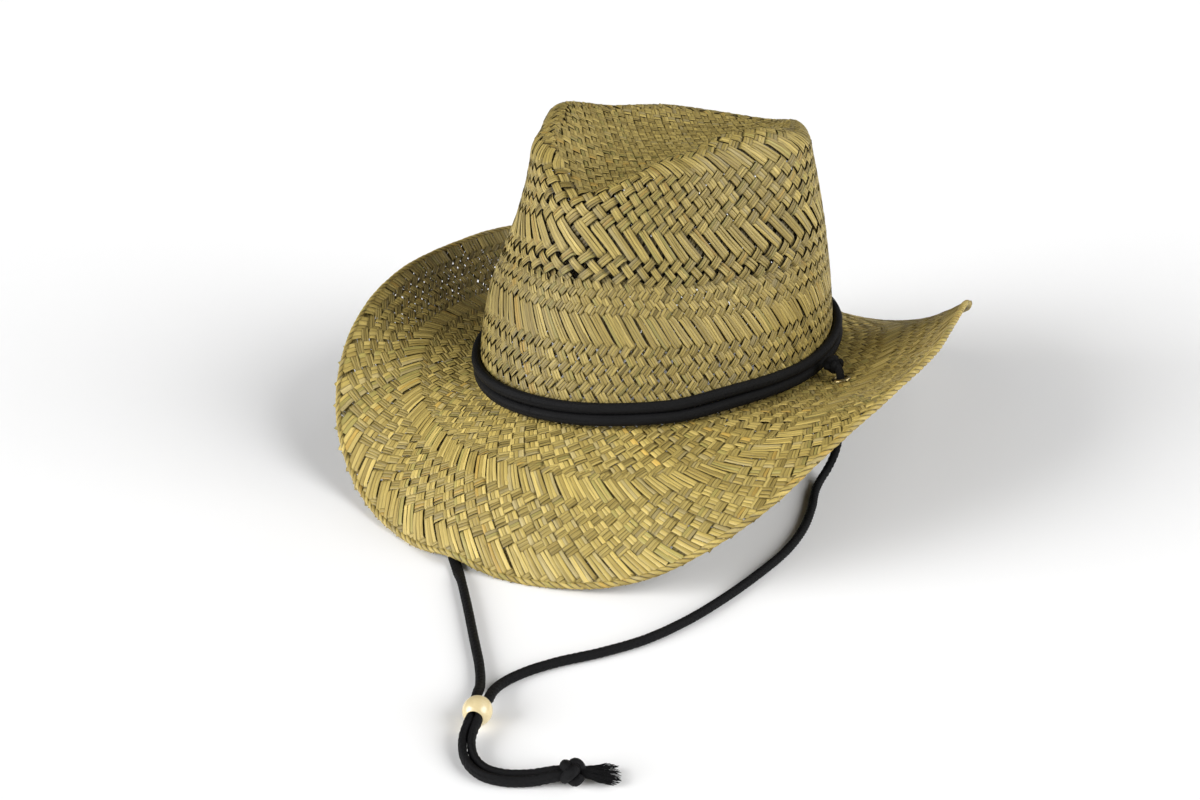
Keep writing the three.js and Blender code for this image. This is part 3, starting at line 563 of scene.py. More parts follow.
# Overhand knot: a strand that runs through its own loop, drawn tight.
def knot_path(size, flat, turn, lean=0.0):
    t = np.linspace(0.10, 2 * np.pi - 0.10, 220)
    x, y, z = (2 + np.cos(3 * t)) * np.cos(2 * t), (2 + np.cos(3 * t)) * np.sin(2 * t), np.sin(3 * t)
    p = np.stack([x / 3 * size, y / 3 * size, z * flat], 1)
    c, s = math.cos(turn), math.sin(turn)
    p = p @ np.array([[c, s, 0], [-s, c, 0], [0, 0, 1.0]])
    c, s = math.cos(lean), math.sin(lean)
    return p @ np.array([[1, 0, 0], [0, c, s], [0, -s, c]])


p, _ = resample(knot_path(3.0, 2.2, 0.5) + KNOT_AT + [0, 0, 0.05], 0.5)
end_knot = piece("end_knot_turns", tube(p, 1.98, 14, plaits=4, pitch=2.1, depth=0.22, seed=0.9), CORD_MAT, "cord", "end_knot")
side_knots = []
for side, name in ((1, "left"), (-1, "right")):
    c = SIDE_KNOT * np.array([side, 1, 1])
    p, _ = resample(knot_path(2.9, 2.1, 0.9, 1.2) * np.array([side, 1.15, 0.95]) + c, 0.5)
    side_knots.append(piece("side_knot_%s_turns" % name, tube(p, 2.05, 12, plaits=4, pitch=2.1, depth=0.2, seed=0.8 * side, floor=None), CORD_MAT, "cord", "side_knot_" + name))


# Frayed ends of the two strands.
def tassel():
    way = unit((TASSEL_END - KNOT_AT) * np.array([1, 1, 0]))
    wide = np.array([-way[1], way[0], 0])
    parts = []
    for i in range(150):
        q = RNG.uniform(-1, 1)
        q = np.sign(q) * abs(q) ** 0.8
        length = 17.0 - 4.5 * abs(q) ** 2 - RNG.uniform(0, 4.5)
        start = RNG.uniform(3.0, 5.0)
        s = np.linspace(0, 1, 9)
        along = start + (length - start) * s
        half = np.interp(along, [3, 5.3, 9, 13, 17.2], [1.6, 2.2, 3.5, 5.7, 7.7])
        zc = np.interp(along, [3, 5.3, 9, 13, 17.2], [4.4, 3.9, 2.8, 2.1, 1.6])
        hh = np.interp(along, [3, 5.3, 9, 13, 17.2], [1.7, 1.7, 1.7, 1.5, 1.2])
        lift = RNG.uniform(-1, 1)
        wav = RNG.uniform(0, 6.28)
        across = q * half + 0.35 * np.sin(wav + s * RNG.uniform(2, 7)) * s
        z = np.maximum(zc + lift * hh * math.sqrt(max(0, 1 - q * q)) + 0.25 * np.sin(wav * 2 + s * 5), 0.35)
        p = KNOT_AT[None] * [1, 1, 0] + way * along[:, None] + wide * across[:, None] + np.stack([0 * z, 0 * z, z], 1)
        r = 0.30 * (1 - 0.55 * s)
        parts.append(tube(p, r, 4, depth=0.0, seed=float(i) * 0.13, floor=0.05))
    return join(parts)


tassel_piece = piece("tassel_frayed", tassel(), CORD_MAT, "cord", "tassel")


# Wooden bead with a drilled bore and softened mouths.
def lathe(profile, steps, at, axis, seed=0.0):
    axis = unit(np.asarray(axis, float))
    a = unit(np.cross(axis, [0.3, 0.2, 1.0]))
    b = np.cross(axis, a)
    ang = np.arange(steps) / steps * 2 * np.pi
    pr = np.array(profile, float)
    v = np.asarray(at) + pr[:, None, 1:2] * axis + pr[:, None, 0:1] * (np.cos(ang)[None, :, None] * a + np.sin(ang)[None, :, None] * b)
    f = np.stack(np.broadcast_arrays(pr[:, None, 0] * np.cos(ang)[None], pr[:, None, 0] * np.sin(ang)[None], pr[:, None, 1]), -1)
    n = len(pr)
    quads = ring_faces(n, steps, True)
    return v.reshape(-1, 3), quads, None, f.reshape(-1, 3), ring_uv(n, steps, True).reshape(-1, 2)


start = math.asin(BEAD_BORE_R / BEAD_R) + 0.06
prof = [(BEAD_R * math.cos(t), BEAD_R * math.sin(t)) for t in np.linspace(-math.pi / 2 + start, math.pi / 2 - start, 34)]
y1 = prof[-1][1]
prof += [(BEAD_BORE_R + 0.16, y1 + 0.02), (BEAD_BORE_R, y1 - 0.25), (BEAD_BORE_R, y1 * 0.4), (BEAD_BORE_R, -y1 * 0.4), (BEAD_BORE_R, -y1 + 0.25), (BEAD_BORE_R + 0.16, -y1 - 0.02)]
bead = piece("cord_bead_turned", lathe(prof[::-1], 56, BEAD_AT, BEAD_AXIS), WOOD_MAT, "bead", "cord_bead")

for name, side in (("left", 1), ("right", -1)):
    ob, path, length = cords[name]
    at, axis = eyelet_frame(side)
print("cord lengths", {k: round(v[2], 1) for k, v in cords.items()})


# Cord band: two turns of cord one above the other, lying on the foot of the crown.
def band_centre(deg, level):
    w, out, _, _, h = wall(deg, 1.0)
    tall = h - SHOULDER_H
    low, high = wall(deg, 2 / tall)[0], wall(deg, 14 / tall)[0]
    lean = np.arctan2(((low - high) * out).sum(-1), 12)
    rise = np.maximum(-0.4, (BAND_THICK + SEAM) * np.sin(np.radians(smooth(INNER, deg))))
    z = STRAW / 2 + SEAM + 0.7 + BAND_TALL / 2 + rise + level * (BAND_TALL + SEAM) * np.cos(lean)
    x = wall(deg, z / tall)[0]
    across = out * np.cos(lean)[:, None]
    across[:, 2] = np.sin(lean)
    up = -out * np.sin(lean)[:, None]
    up[:, 2] = np.cos(lean)
    return x + across * (SEAM + 0.15 + BAND_THICK / 2), across, up


def band(level):
    deg = np.linspace(0, 360, 2881)[:-1]
    x, across, up = band_centre(deg, level)
    s = np.concatenate([[0], np.cumsum(np.linalg.norm(np.diff(np.vstack([x, x[:1]]), axis=0), axis=1))])
    n = 680
    d = np.interp(np.linspace(0, s[-1], n + 1)[:-1], s, np.append(deg, 360))
    x, across, up = band_centre(d, level)
    # Cords never lie quite true.
    wob = 0.22 * np.sin(np.radians(d) * 5 + level * 2.0) + 0.16 * np.sin(np.radians(d) * 11 + 1.3 + level)
    x = x + up * wob[:, None] * 0.5
    t = unit(np.roll(x, -1, 0) - np.roll(x, 1, 0))
    ang = np.arange(20) / 20
    along = np.linspace(0, s[-1], n + 1)[:-1]
    turns = max(1, round(s[-1] / 3.0 / 2)) * 2
    h = braid_height(ang[None], along[:, None], 5, s[-1] / turns)
    c, sn = np.cos(2 * np.pi * ang)[None, :, None], np.sin(2 * np.pi * ang)[None, :, None]
    k = 1 - 0.075 + 0.085 * h[..., None]
    # A rounded, slightly flattened section.
    v = x[:, None] + k * (across[:, None] * BAND_THICK / 2 * np.sign(c) * np.abs(c) ** 0.9 + up[:, None] * BAND_TALL / 2 * np.sign(sn) * np.abs(sn) ** 0.9) * 1.07
    fibre = np.stack(np.broadcast_arrays(ang[None] * 14.5, along[:, None], 0.2 + level), -1)
    return v.reshape(-1, 3), ring_faces(n, 20, True), None, fibre.reshape(-1, 3), ring_uv(n, 20, True).reshape(-1, 2)


piece("band_cord_low", band(0), CORD_MAT, "cord", "band_cord_lower")
piece("band_cord_high", band(1), CORD_MAT, "cord", "band_cord_upper")

# Rolled brass eyelets.
for side, name in ((1, "left"), (-1, "right")):
    at, axis = eyelet_frame(side)
    f = STRAW / 2 + SEAM + 0.3
    ro, rb, bore, ft = 4.75, 3.3, 2.65, 0.5
    half = [(bore, 0.0), (bore, f - 0.2), (bore + 0.12, f + 0.32), (bore + 0.45, f + ft + 0.12), (bore + 0.9, f + ft + 0.16),
            (bore + 1.5, f + ft - 0.05), (ro - 0.25, f + 0.18), (ro, f - 0.05), (ro - 0.1, f - 0.2), (ro - 0.7, f - 0.12), (rb + 0.2, f - 0.25), (rb, f - 0.6), (rb, 0.0)]
    prof = half[::-1] + [(r, -y) for r, y in half[1:-1]]
    piece("eyelet_ring_" + name, lathe(prof, 44, at, axis), BRASS_MAT, "eyelet", "eyelet_" + name)


# ======================================================================================================================
# Weave
# ======================================================================================================================
# Distance round the base oval from the front, in millimetres, against the angle that draws it.
_d = np.linspace(0, 360, 2881)
_p = base(_d)[0]
_s = np.concatenate([[0], np.cumsum(np.linalg.norm(np.diff(_p, axis=0), axis=1))])
ROUND = _s[-1]


def angle_at(x):
    whole = np.floor(x / ROUND)
    return np.interp(x - whole * ROUND, _s, _d) + 360 * whole


def folded(x):
    """Distance from the front either way round."""
    x = np.mod(x, ROUND)
    return np.minimum(x, ROUND - x)


# The crown's outer skin as a table over angle and distance from its foot.
TH = np.linspace(0, 360, 361)
ups, turns, us = np.linspace(0, 1, 61), np.linspace(0, np.pi / 2, 19)[1:], np.linspace(0, 0.34, 18)[1:]
cols = [wall(TH, u)[0] for u in ups] + [shoulder(TH, t) for t in turns] + [crease(TH, u) for u in us]
cols = np.stack(cols, 1)
arc = np.concatenate([np.zeros((361, 1)), np.cumsum(np.linalg.norm(np.diff(cols, axis=1), axis=2), 1)], 1)
RIM_S = arc[:, len(ups) + len(turns) - 1]
DS, NS = 0.5, 300
CROWN_P = np.empty((361, NS, 3))
for i in range(361):
    for c in range(3):
        CROWN_P[i, :, c] = np.interp(np.arange(NS) * DS, arc[i], cols[i, :, c])
_a = np.vstack([CROWN_P[-2:-1], CROWN_P, CROWN_P[1:2]])
CROWN_N = unit(np.cross(_a[2:] - _a[:-2], np.gradient(CROWN_P, axis=1)))
CROWN_N *= np.sign((CROWN_N[:, 60] * (CROWN_P[:, 60] * [1, 1, 0])).sum(-1))[:, None, None]


def crown_at(deg, s):
    """Point and outward normal of the crown's middle surface at distance s from its foot."""
    d = np.mod(deg, 360.0)
    i = np.minimum(d.astype(int), 359)
    fi = (d - i)[..., None]
    q = np.clip(s / DS, 0, NS - 1.001)
    j = q.astype(int)
    fj = (q - j)[..., None]

    def pick(t):
        return (t[i, j] * (1 - fi) + t[i + 1, j] * fi) * (1 - fj) + (t[i, j + 1] * (1 - fi) + t[i + 1, j + 1] * fi) * fj

    n = unit(pick(CROWN_N))
    return pick(CROWN_P) - n * STRAW / 2, n


def rim_at(deg):
    return np.interp(np.mod(deg, 360.0), TH, RIM_S)


def brim_surface(deg, t78):
    """Point and upward normal of the brim's middle surface. t78 is the distance on a brim 78 mm wide."""
    def at(d, t):
        w = smooth(WIDTH, d)
        return brim(d, np.where(t > 0, t * w / 78.0, t))[0]

    deg = np.asarray(deg, float)
    n = unit(np.cross(at(deg + 0.4, t78) - at(deg - 0.4, t78), at(deg, t78 + 0.5) - at(deg, t78 - 0.5)))
    return at(deg, t78), n * np.sign(n[..., 2:3])


def table(xs, columns):
    """Rows that stand at the distances given for a few places round the hat: function of place and row."""
    xs, columns = np.array(xs, float), np.array(columns, float)
    fine = np.arange(0, ROUND / 2 + 2, 2.0)
    grid = np.stack([np.interp(fine, xs, columns[:, j]) for j in range(columns.shape[1])], 1)
    for _ in range(40):
        pad = np.vstack([grid[:1], grid, grid[-1:]])
        grid = (pad[:-2] + 2 * grid + pad[2:]) / 4

    def at(x, row):
        q = np.clip(folded(x) / 2.0, 0, len(fine) - 1.001)
        i = q.astype(int)
        fi = q - i
        m = grid.shape[1]
        j = np.clip(np.floor(row).astype(int), 0, m - 2)
        fj = row - j
        return (grid[i, j] * (1 - fi) + grid[i + 1, j] * fi) * (1 - fj) + (grid[i, j + 1] * (1 - fi) + grid[i + 1, j + 1] * fi) * fj
    return at


# Colours of the dried rush, in linear light: pale yellow, straw, tan, olive, orange and grey strands, and how many of each.
PALETTE = np.array([(0.59, 0.45, 0.135), (0.50, 0.378, 0.104), (0.41, 0.303, 0.080), (0.42, 0.345, 0.095), (0.53, 0.355, 0.080), (0.46, 0.365, 0.145)])
SHARES = np.array([0.28, 0.36, 0.24, 0.05, 0.03, 0.04])
PAINTED_CREVICE_SHADE = 0.68


def tints(rng, n, gain=1.0):
    pick = rng.choice(len(PALETTE), n, p=SHARES / SHARES.sum())
    return np.clip(PALETTE[pick] * rng.normal(1, 0.09, (n, 1)) * gain, 0.03, 0.9)


def strands(centre, normal, lateral, width, height, keep, level=None, thick=0.72, subs=3, gain=1.0, gap=-0.10, deep=None, inner=0.5, seed=0):
    """Ribbons from node arrays (strip, node, 3). Each strip is subs flat strands side by side; keep marks the nodes that are
    there and level (0 to 1) says how far a node lies flat. Returns vertices, quads, tris, fibre, tint, uv, normals."""
    rng = np.random.default_rng(1000 + seed)
    k, m = height.shape
    c = centre + normal * height[..., None]
    t = np.gradient(c, axis=1)
    top = unit(np.cross(t, lateral))
    top *= np.sign((top * normal).sum(-1, keepdims=True))
    lat = unit(np.cross(top, unit(t)))
    lat *= np.sign((lat * lateral).sum(-1, keepdims=True))
    flat = np.zeros_like(height) if level is None else np.broadcast_to(level, height.shape)
    shine = unit(top * (1 - 0.55 * flat)[..., None] + normal * (0.55 * flat)[..., None])
    along = np.concatenate([np.zeros((k, 1)), np.cumsum(np.linalg.norm(np.diff(c, axis=1), axis=2), 1)], 1)
    # Each strip's strands share its width unevenly.
    shares = np.abs(rng.normal(1, 0.17, (k, subs))) + 0.25
    shares /= shares.sum(1, keepdims=True)
    edges = np.concatenate([np.zeros((k, 1)), np.cumsum(shares, 1)], 1) - 0.5
    strip_tint = rng.normal(1, 0.05, (k, 1))
    both = keep[:, :-1] & keep[:, 1:]
    first = keep & ~np.concatenate([np.zeros((k, 1), bool), keep[:, :-1]], 1)
    final = keep & ~np.concatenate([keep[:, 1:], np.zeros((k, 1), bool)], 1)
    one = ~(first & final)
    first, final = first & one, final & one
    ov, on, of, ot, quads, quv, tris, tuv = [], [], [], [], [], [], [], []
    at = 0
    for q in range(subs):
        sh, mid = shares[:, q:q + 1], (edges[:, q:q + 1] + edges[:, q + 1:q + 2]) / 2
        swing = 0.035 * np.sin(along * rng.uniform(0.05, 0.2, (k, 1)) + rng.uniform(0, 6.28, (k, 1)))
        wq = width * np.maximum(sh - gap / subs, 0.08) * (1 + 0.05 * np.sin(along * 0.3 + rng.uniform(0, 6.28, (k, 1))))
        oq = width * (mid + swing)
        dh = rng.normal(0, 0.045, (k, 1)) + 0.05 * np.sin(along * 0.33 + rng.uniform(0, 6.28, (k, 1)))
        tilt = rng.normal(0, 0.07, (k, 1)) + 0.07 * np.sin(along * 0.24 + rng.uniform(0, 6.28, (k, 1)))
        th = thick * rng.normal(1, 0.06, (k, 1))
        ctr = c + lat * oq[..., None] + top * dh[..., None]
        l2, n2 = unit(lat + top * tilt[..., None]), unit(top - lat * tilt[..., None])
        s2 = unit(shine - lat * tilt[..., None])
        tl = ctr - l2 * (wq / 2)[..., None] + n2 * (th / 2)[..., None]
        tr = ctr + l2 * (wq / 2)[..., None] + n2 * (th / 2)[..., None]
        bt = ctr - n2 * (th / 2)[..., None]
        ov.append(np.stack([tl, tr, bt], 2).reshape(-1, 3))
        on.append(np.stack([unit(s2 - l2 * 0.5), unit(s2 + l2 * 0.5), -n2], 2).reshape(-1, 3))
        rnd = rng.uniform(0, 1, (k, 1, 1))
        of.append(np.stack(np.broadcast_arrays(wq[..., None] / 2 * np.array([-1.0, 1.0, 0.0]) + q * 3.1, along[..., None], rnd), -1).reshape(-1, 3))
        col = np.ones((k, m, 3, 4))
        col[..., :3] = (tints(rng, k, gain) * strip_tint)[:, None, None]
        # Painted shade: the colour is darker where the strand dives under its neighbours or sinks, standing for the
        # shade in the crevices.
        if deep is not None:
            col[..., :3] *= (1 - PAINTED_CREVICE_SHADE * deep)[:, :, None, None]
        # Painted shade: the bottom edge of each strand, which faces into the weave, is darkened by the factor inner.
        col[:, :, 2, :3] *= inner
        # The alpha marks the top edges of each strand, where the material paints a dark line of shade.
        col[..., 3] = [0.0, 1.0, 0.5]
        ot.append(col.reshape(-1, 4))
        i, j = np.nonzero(both)
        row, hgt = (q * k + i) / (subs * k), 0.95 / (subs * k)
        b = at + (i * m + j) * 3
        u0, u1 = j / (m - 1), (j + 1) / (m - 1)
        for e in range(3):
            f = (e + 1) % 3
            quads.append(np.stack([b + e, b + f, b + 3 + f, b + 3 + e], -1))
            v0, v1 = row + e / 3 * hgt, row + (e + 1) / 3 * hgt
            quv.append(np.stack([np.stack([u0, v0], -1), np.stack([u0, v1], -1), np.stack([u1, v1], -1), np.stack([u1, v0], -1)], -2))
        for which in (first, final):
            ii, jj = np.nonzero(which)
            b = at + (ii * m + jj) * 3
            tris.append(np.stack([b, b + 1, b + 2], -1))
            u, vv = jj / (m - 1), (q * k + ii) / (subs * k)
            tuv.append(np.stack([np.stack([u + a, vv + bb], -1) for a, bb in ((0, 0), (0.0002, 0), (0, 0.0002))], 1))
        at += k * m * 3
    v, n, f, tn = np.vstack(ov), np.vstack(on), np.vstack(of), np.vstack(ot)
    quads, tris, quv, tuv = np.vstack(quads), np.vstack(tris), np.vstack(quv), np.vstack(tuv)
    used = np.zeros(len(v), bool)
    used[quads.ravel()] = True
    used[tris.ravel()] = True
    index = np.cumsum(used) - 1
    return [v[used], index[quads], index[tris], f[used], tn[used], quv, tuv, n[used]]


def straw_piece(name, parts, *nodes, mat=None):
    """Joins the parts from strands() and turns their faces the way their normals point."""
    v, q, t, f, c, qu, tu, n, at = [], [], [], [], [], [], [], [], 0
    for i, p in enumerate(parts):
        v.append(p[0]); q.append(p[1] + at); t.append(p[2] + at); f.append(p[3]); c.append(p[4]); n.append(p[7])
        scale = np.array([1, 1 / len(parts)])
        qu.append(p[5] * scale + [0, i / len(parts)]); tu.append(p[6] * scale + [0, i / len(parts)])
        at += len(p[0])
    v, q, t, f, c, qu, tu, n = map(np.concatenate, (v, q, t, f, c, qu, tu, n))
    for faces, uv in ((q, qu), (t, tu)):
        a, b, d = v[faces[:, 0]], v[faces[:, 1]], v[faces[:, 2]]
        wrong = (np.cross(b - a, d - a) * n[faces].mean(1)).sum(1) < 0
        faces[wrong] = faces[wrong][:, ::-1]
        uv[wrong] = uv[wrong][:, ::-1]
    ob = build(name, v, q, t, normals=n, uv=np.concatenate([qu.reshape(-1, 2), tu.reshape(-1, 2)]),
               points={"fibre": ("FLOAT_VECTOR", f), "tint_and_shade": ("FLOAT_COLOR", c)})
    print(name, len(q) * 2 + len(t), "triangles")
    return finish_piece(ob, mat or STRAW_MAT, "straw", *nodes)


def chart_nodes(signs, edge=0.33):
    """Nodes along a strand, in rows, with its height and how far it lies flat there."""
    r, h, f = [], [], []
    last = len(signs) - 1
    for i, s in enumerate(signs):
        before, after = i > 0 and signs[i - 1] == s, i < last and signs[i + 1] == s
        spots = [i] if before and after else [i, i + edge] if before else [i - edge, i] if after else [i - edge, i + edge]
        for p in spots:
            r.append(p); h.append(s); f.append(1)
        if i < last and not after:
            r.append(i + 0.5); h.append(0); f.append(0)
    return np.array(r, float), np.array(h, float), np.array(f, float)


def weave(surface, count, over, step, spot, fill, reach, delta=0.46, seed=0, wander=0.06, subs=3, gain=1.0, thick=0.72, inner=0.4, shade=1.0, trim=None, tone=None):
    """One family of strands of a round weave. over: +1 in the rows where it is on top; step: how many strand widths it moves
    round for each row; spot(u, row) gives distance round and distance along the surface; reach(x, s, row, strip) says which
    nodes are there and how far they are sunk."""
    rng = np.random.default_rng(77 + seed)
    r, h, f = chart_nodes(over)
    k = np.arange(count)[:, None]
    wand = wander * (np.sin(r[None] * rng.uniform(0.15, 0.45, (count, 1)) + rng.uniform(0, 6.28, (count, 1))) + rng.normal(0, 0.6, (count, 1)))
    u = k + step * r[None] + wand
    rr = np.broadcast_to(r[None], u.shape) + rng.normal(0, 0.025, (count, 1))
    x, s = spot(u, rr)
    if trim is not None:
        # The node that falls past the limit is drawn back to it.
        i = np.nonzero((s > trim).any(1))[0]
        j = np.argmax(s[i] > trim, axis=1)
        share = (trim - s[i, j - 1]) / (s[i, j] - s[i, j - 1])
        u[i, j] = u[i, j - 1] + share * (u[i, j] - u[i, j - 1])
        rr[i, j] = rr[i, j - 1] + share * (rr[i, j] - rr[i, j - 1])
        x, s = spot(u, rr)
    p, n = surface(angle_at(x), s)
    xa, sa = spot(u + 0.5, rr)
    xb, sb = spot(u - 0.5, rr)
    across = surface(angle_at(xa), sa)[0] - surface(angle_at(xb), sb)[0]
    lat = unit(np.cross(n, unit(np.gradient(p, axis=1))))
    pitch = np.abs((across * lat).sum(-1))
    width = pitch * fill(x, rr, h[None]) * rng.normal(1, 0.04, (count, 1))
    keep, sink = reach(x, s, rr, rng)
    # Painted shade: how far each node's colour is darkened for passing under its neighbours and for sinking; shade
    # scales it and tone adds to it.
    deep = np.clip((0.45 - np.broadcast_to(h[None], u.shape)) / 1.45, 0, 1) + 0.35 * np.clip(sink, 0, 1)
    return strands(p, n, lat, width, delta * h[None] - sink, keep, f[None], thick=thick, subs=subs, gain=gain,
                   deep=np.clip(deep, 0, 1) * shade + (0 if tone is None else tone(x, s)), inner=inner, seed=seed)


def signs_of(chart):
    return np.array([1 if c == "+" else -1 for c in chart])


def back_fade(u, near, far):
    return np.cos(np.pi / 2 * np.clip((np.abs(u) - near) / (far - near), 0, 1)) ** 2


def centred(u, count):
    return np.mod(u + count / 2, count) - count / 2


# ---- crown, lower part: 99 strips each way -----------------------------------------------------------------------------
LOWER, UPPER, BRIM = 99, 66, 144
low_rows = table([0, 36, 58.8, 75, 92, 110, 170, 293], [
    [2.8, 6.5, 10.3, 14.2, 18.4, 22.6, 26.8, 31.2, 35.7, 40.0, 44.7, 49.5, 53.7, 57.3, 60.9, 64.4, 67.9, 71.3],
    [2.8, 6.5, 10.3, 14.2, 18.4, 22.6, 26.8, 31.2, 35.7, 40.0, 44.7, 49.5, 53.7, 57.3, 60.9, 64.4, 67.9, 71.3],
    [2.4, 6.0, 9.6, 13.4, 17.3, 21.4, 25.3, 29.2, 33.0, 37.0, 42.3, 47.4, 50.8, 54.3, 58.0, 61.5, 65.0, 68.5],
    [2.2, 5.7, 9.2, 12.8, 16.5, 20.6, 24.5, 28.5, 32.3, 36.6, 41.0, 45.4, 48.8, 52.4, 56.0, 59.5, 63.0, 66.5],
    [2.0, 5.2, 8.6, 12.0, 15.5, 19.0, 22.7, 26.7, 30.6, 35.2, 40.0, 44.5, 47.6, 51.2, 55.0, 58.5, 62.0, 65.5],
    [1.8, 4.8, 8.0, 11.2, 14.5, 18.0, 21.6, 25.4, 29.2, 33.5, 38.2, 42.5, 45.8, 49.5, 53.0, 56.5, 60.0, 63.5],
    [1.8, 4.8, 8.0, 11.2, 14.5, 18.0, 21.6, 25.4, 29.2, 33.5, 38.2, 42.5, 45.8, 49.5, 53.0, 56.5, 60.0, 63.5],
    [1.6, 4.3, 7.1, 10.0, 13.0, 16.1, 19.3, 22.7, 26.2, 30.0, 34.2, 38.1, 41.0, 44.3, 47.4, 50.5, 53.6, 56.7],
])
LOW_CHART = "-+-+-+-+-+++-+-+-+"          # rows -7 ... 10; row 0 is the first above the cord that shows whole


def around(x, places, values):
    """Value that changes round the hat, from a few places between -180 and 180 degrees."""
    at = np.interp(np.array(places, float) % 360, _d, _s) - np.where(np.array(places) < 0, ROUND, 0)
    return np.interp(np.mod(x + ROUND / 2, ROUND) - ROUND / 2, at, values)


def low_spot(u, row):
    x = u * ROUND / LOWER
    plain = around(x, [-178, -90, -30, 0, 45, 65, 110, 180], [0.2, 0.2, 0.2, 0.2, 0.3, 0.6, 0.6, 0.2])
    float_ = around(x, [-178, -90, -60, -30, 0, 20, 40, 60, 75, 180], [0.0, 0.0, -0.6, -1.3, -0.9, -0.8, -0.7, -0.3, 0.0, 0.0])
    x = x + plain * (np.minimum(row, 8.0) - 8) + float_ * np.clip(row - 8, 0, 4) - 0.3 * np.maximum(row - 12, 0)
    return x, low_rows(x, row)


def low_reach(x, s, row, rng):
    jag = rng.normal(0, 0.22, (len(x), 1))
    return row < 16.1, 1.25 * ease(row + jag, 14.6, 15.8)


def low_fill(x, row, sign):
    floats = (row > 8.4) & (row < 11.6)
    return np.where(floats, np.where(sign > 0, 0.88, 1.03), np.where(row > 11.5, 0.95, np.where(sign > 0, 0.80, 0.86)))


# ---- crown, upper part: 66 strips each way -----------------------------------------------------------------------------
_x = [0, 24, 35, 44, 52, 60, 75, 92, 110, 170, 293]
_s1 = [76.3, 76.3, 74.8, 73.6, 72.2, 71.0, 70.5, 69.3, 68.3, 68.3, 61.0]
_s5 = [93.8, 93.0, 91.5, 90.3, 89.3, 88.5, 86.8, 86.1, 85.8, 85.8, 76.6]
_s8 = [105.8, 104.8, 102.6, 101.0, 100.0, 98.8, 97.6, 96.2, 96.2, 96.2, 86.0]
_s11 = [117.5, 116.0, 113.5, 111.5, 110.2, 109.2, 107.8, 107.1, 106.8, 106.8, 95.4]
UP_ROWS = np.arange(-3, 22)
up_rows = table(_x, [np.interp(UP_ROWS, [-3, 1, 5, 8, 11, 15, 22], [a - 15.0, a, b, c, d, d + 13.2, d + 36]) for a, b, c, d in zip(_s1, _s5, _s8, _s11)])
UP_CHART = "".join("+" if r in (-2, 0, 2, 3, 4, 6, 8, 10, 12, 13, 14, 16, 18, 20) else "-" for r in range(-3, 21))
UP_U = np.array([0, 1, 2, 3, 4, 5, 6, 7, 8, 9, 10, 11, 12, UPPER / 2])
UP_X = np.array([0, 13.2, 25, 35.3, 44.3, 53, 60.8, 68.4, 76.3, 85, 93, 101.6, 110.6, ROUND / 2])
_fu = np.linspace(0, UPPER / 2, 331)
_fx = np.interp(_fu, UP_U, UP_X)
for _ in range(30):
    _fx[1:-1] = (_fx[:-2] + 2 * _fx[1:-1] + _fx[2:]) / 4


def up_spot(u, row):
    c = centred(u, UPPER)
    turns_done = np.round((u - c) / UPPER)
    x = np.sign(c) * np.interp(np.abs(c), _fu, _fx)
    lean = 0.93 * np.clip(row - 8, 0, 6.4) - 0.5 * np.maximum(row - 14.4, 0)
    x = x + lean * np.clip(c / 2.5, -1, 1) * back_fade(c, 13, UPPER / 2) + turns_done * ROUND
    return x, up_rows(x, row)


def up_reach(x, s, row, rng):
    jag = rng.normal(0, 0.22, (len(x), 1))
    over = s - rim_at(angle_at(x))
    return (over < 4.4) & (row > 0.9), 1.5 * ease(over, 0.8, 4.0) + 1.25 * ease(-(row + jag), -2.0, -1.1)


def up_fill(x, row, sign):
    q = np.interp(folded(x), [0, 20, 45, 70, 110, 293], [0.67, 0.69, 0.73, 0.76, 0.79, 0.88])
    q = np.where((row > 4.5) & (row < 7.5), np.where(sign > 0, 0.73, 0.76), q)
    q = np.where(row < 4.5, q - 0.11, q)
    q = np.where((row > 14.4) & (row < 17.6), np.where(sign > 0, 0.92, 1.0), q)
    q = np.where(row > 17.6, 0.93, q)
    return q


def low_tone(x, s):
    """A little darker on the right of the front."""
    return around(x, [-178, -80, -55, -15, 5, 180], [0, 0, 0.2, 0.2, 0, 0])


low_a, up_a = signs_of(LOW_CHART), signs_of(UP_CHART)
for fam, sg, st, gain in (("A", 1, -0.5, 0.70), ("B", -1, 0.5, 0.57)):
    lower = weave(crown_at, LOWER, low_a * sg, st, low_spot, low_fill, low_reach, seed=ord(fam), gain=gain, delta=0.52, tone=low_tone)
    upper = weave(crown_at, UPPER, up_a * sg, st, up_spot, up_fill, up_reach, seed=10 + ord(fam), gain=gain, delta=0.5)
    straw_piece("crown_lower_weave_" + fam.lower(), [lower], *(["crown"] if fam == "A" else []))
    straw_piece("crown_upper_weave_" + fam.lower(), [upper])

# ---- brim: 99 strips each way near the crown, 144 farther out ------------------------------------------------------------
_deg = [0, 10, 20, 30, 35, 40, 45, 50, 60, 70, 80, 90, 120, 150, 180]
_in = [25.5, 25, 25, 26.5, 28, 29.5, 31, 32.2, 32, 30.5, 29.5, 29, 28.5, 27, 26]
_mid = [40.7, 40, 39.5, 40.5, 42.2, 44, 46.3, 47.5, 46, 43, 41.5, 41, 41, 40.5, 40.5]
_out = [61.5, 61, 60.5, 61.8, 63.5, 65.6, 68, 69.3, 69, 67.5, 66.5, 66, 64, 62, 61.5]
_bx = np.interp(_deg, _d[:1441], _s[:1441])
OUT_ROWS = np.arange(-2, 18)
out_rows = table(_bx, [np.interp(OUT_ROWS, [-2, 0, 4, 10, 14, 18], [a - 7.2, a, b, c, c + 15.0, c + 30]) for a, b, c in zip(_in, _mid, _out)])
in_rows = table(_bx, [np.concatenate([[-1.2], np.linspace(2.0, a - 0.6, 8), [a + 2.6, a + 5.8]]) for a in _in])
IN_CHART = "-+-+-+-+-+-"
OUT_CHART = "".join("+" if r in (-1, 1, 2, 3, 5, 7, 9, 11, 12, 13, 15, 17) else "-" for r in range(-2, 18))


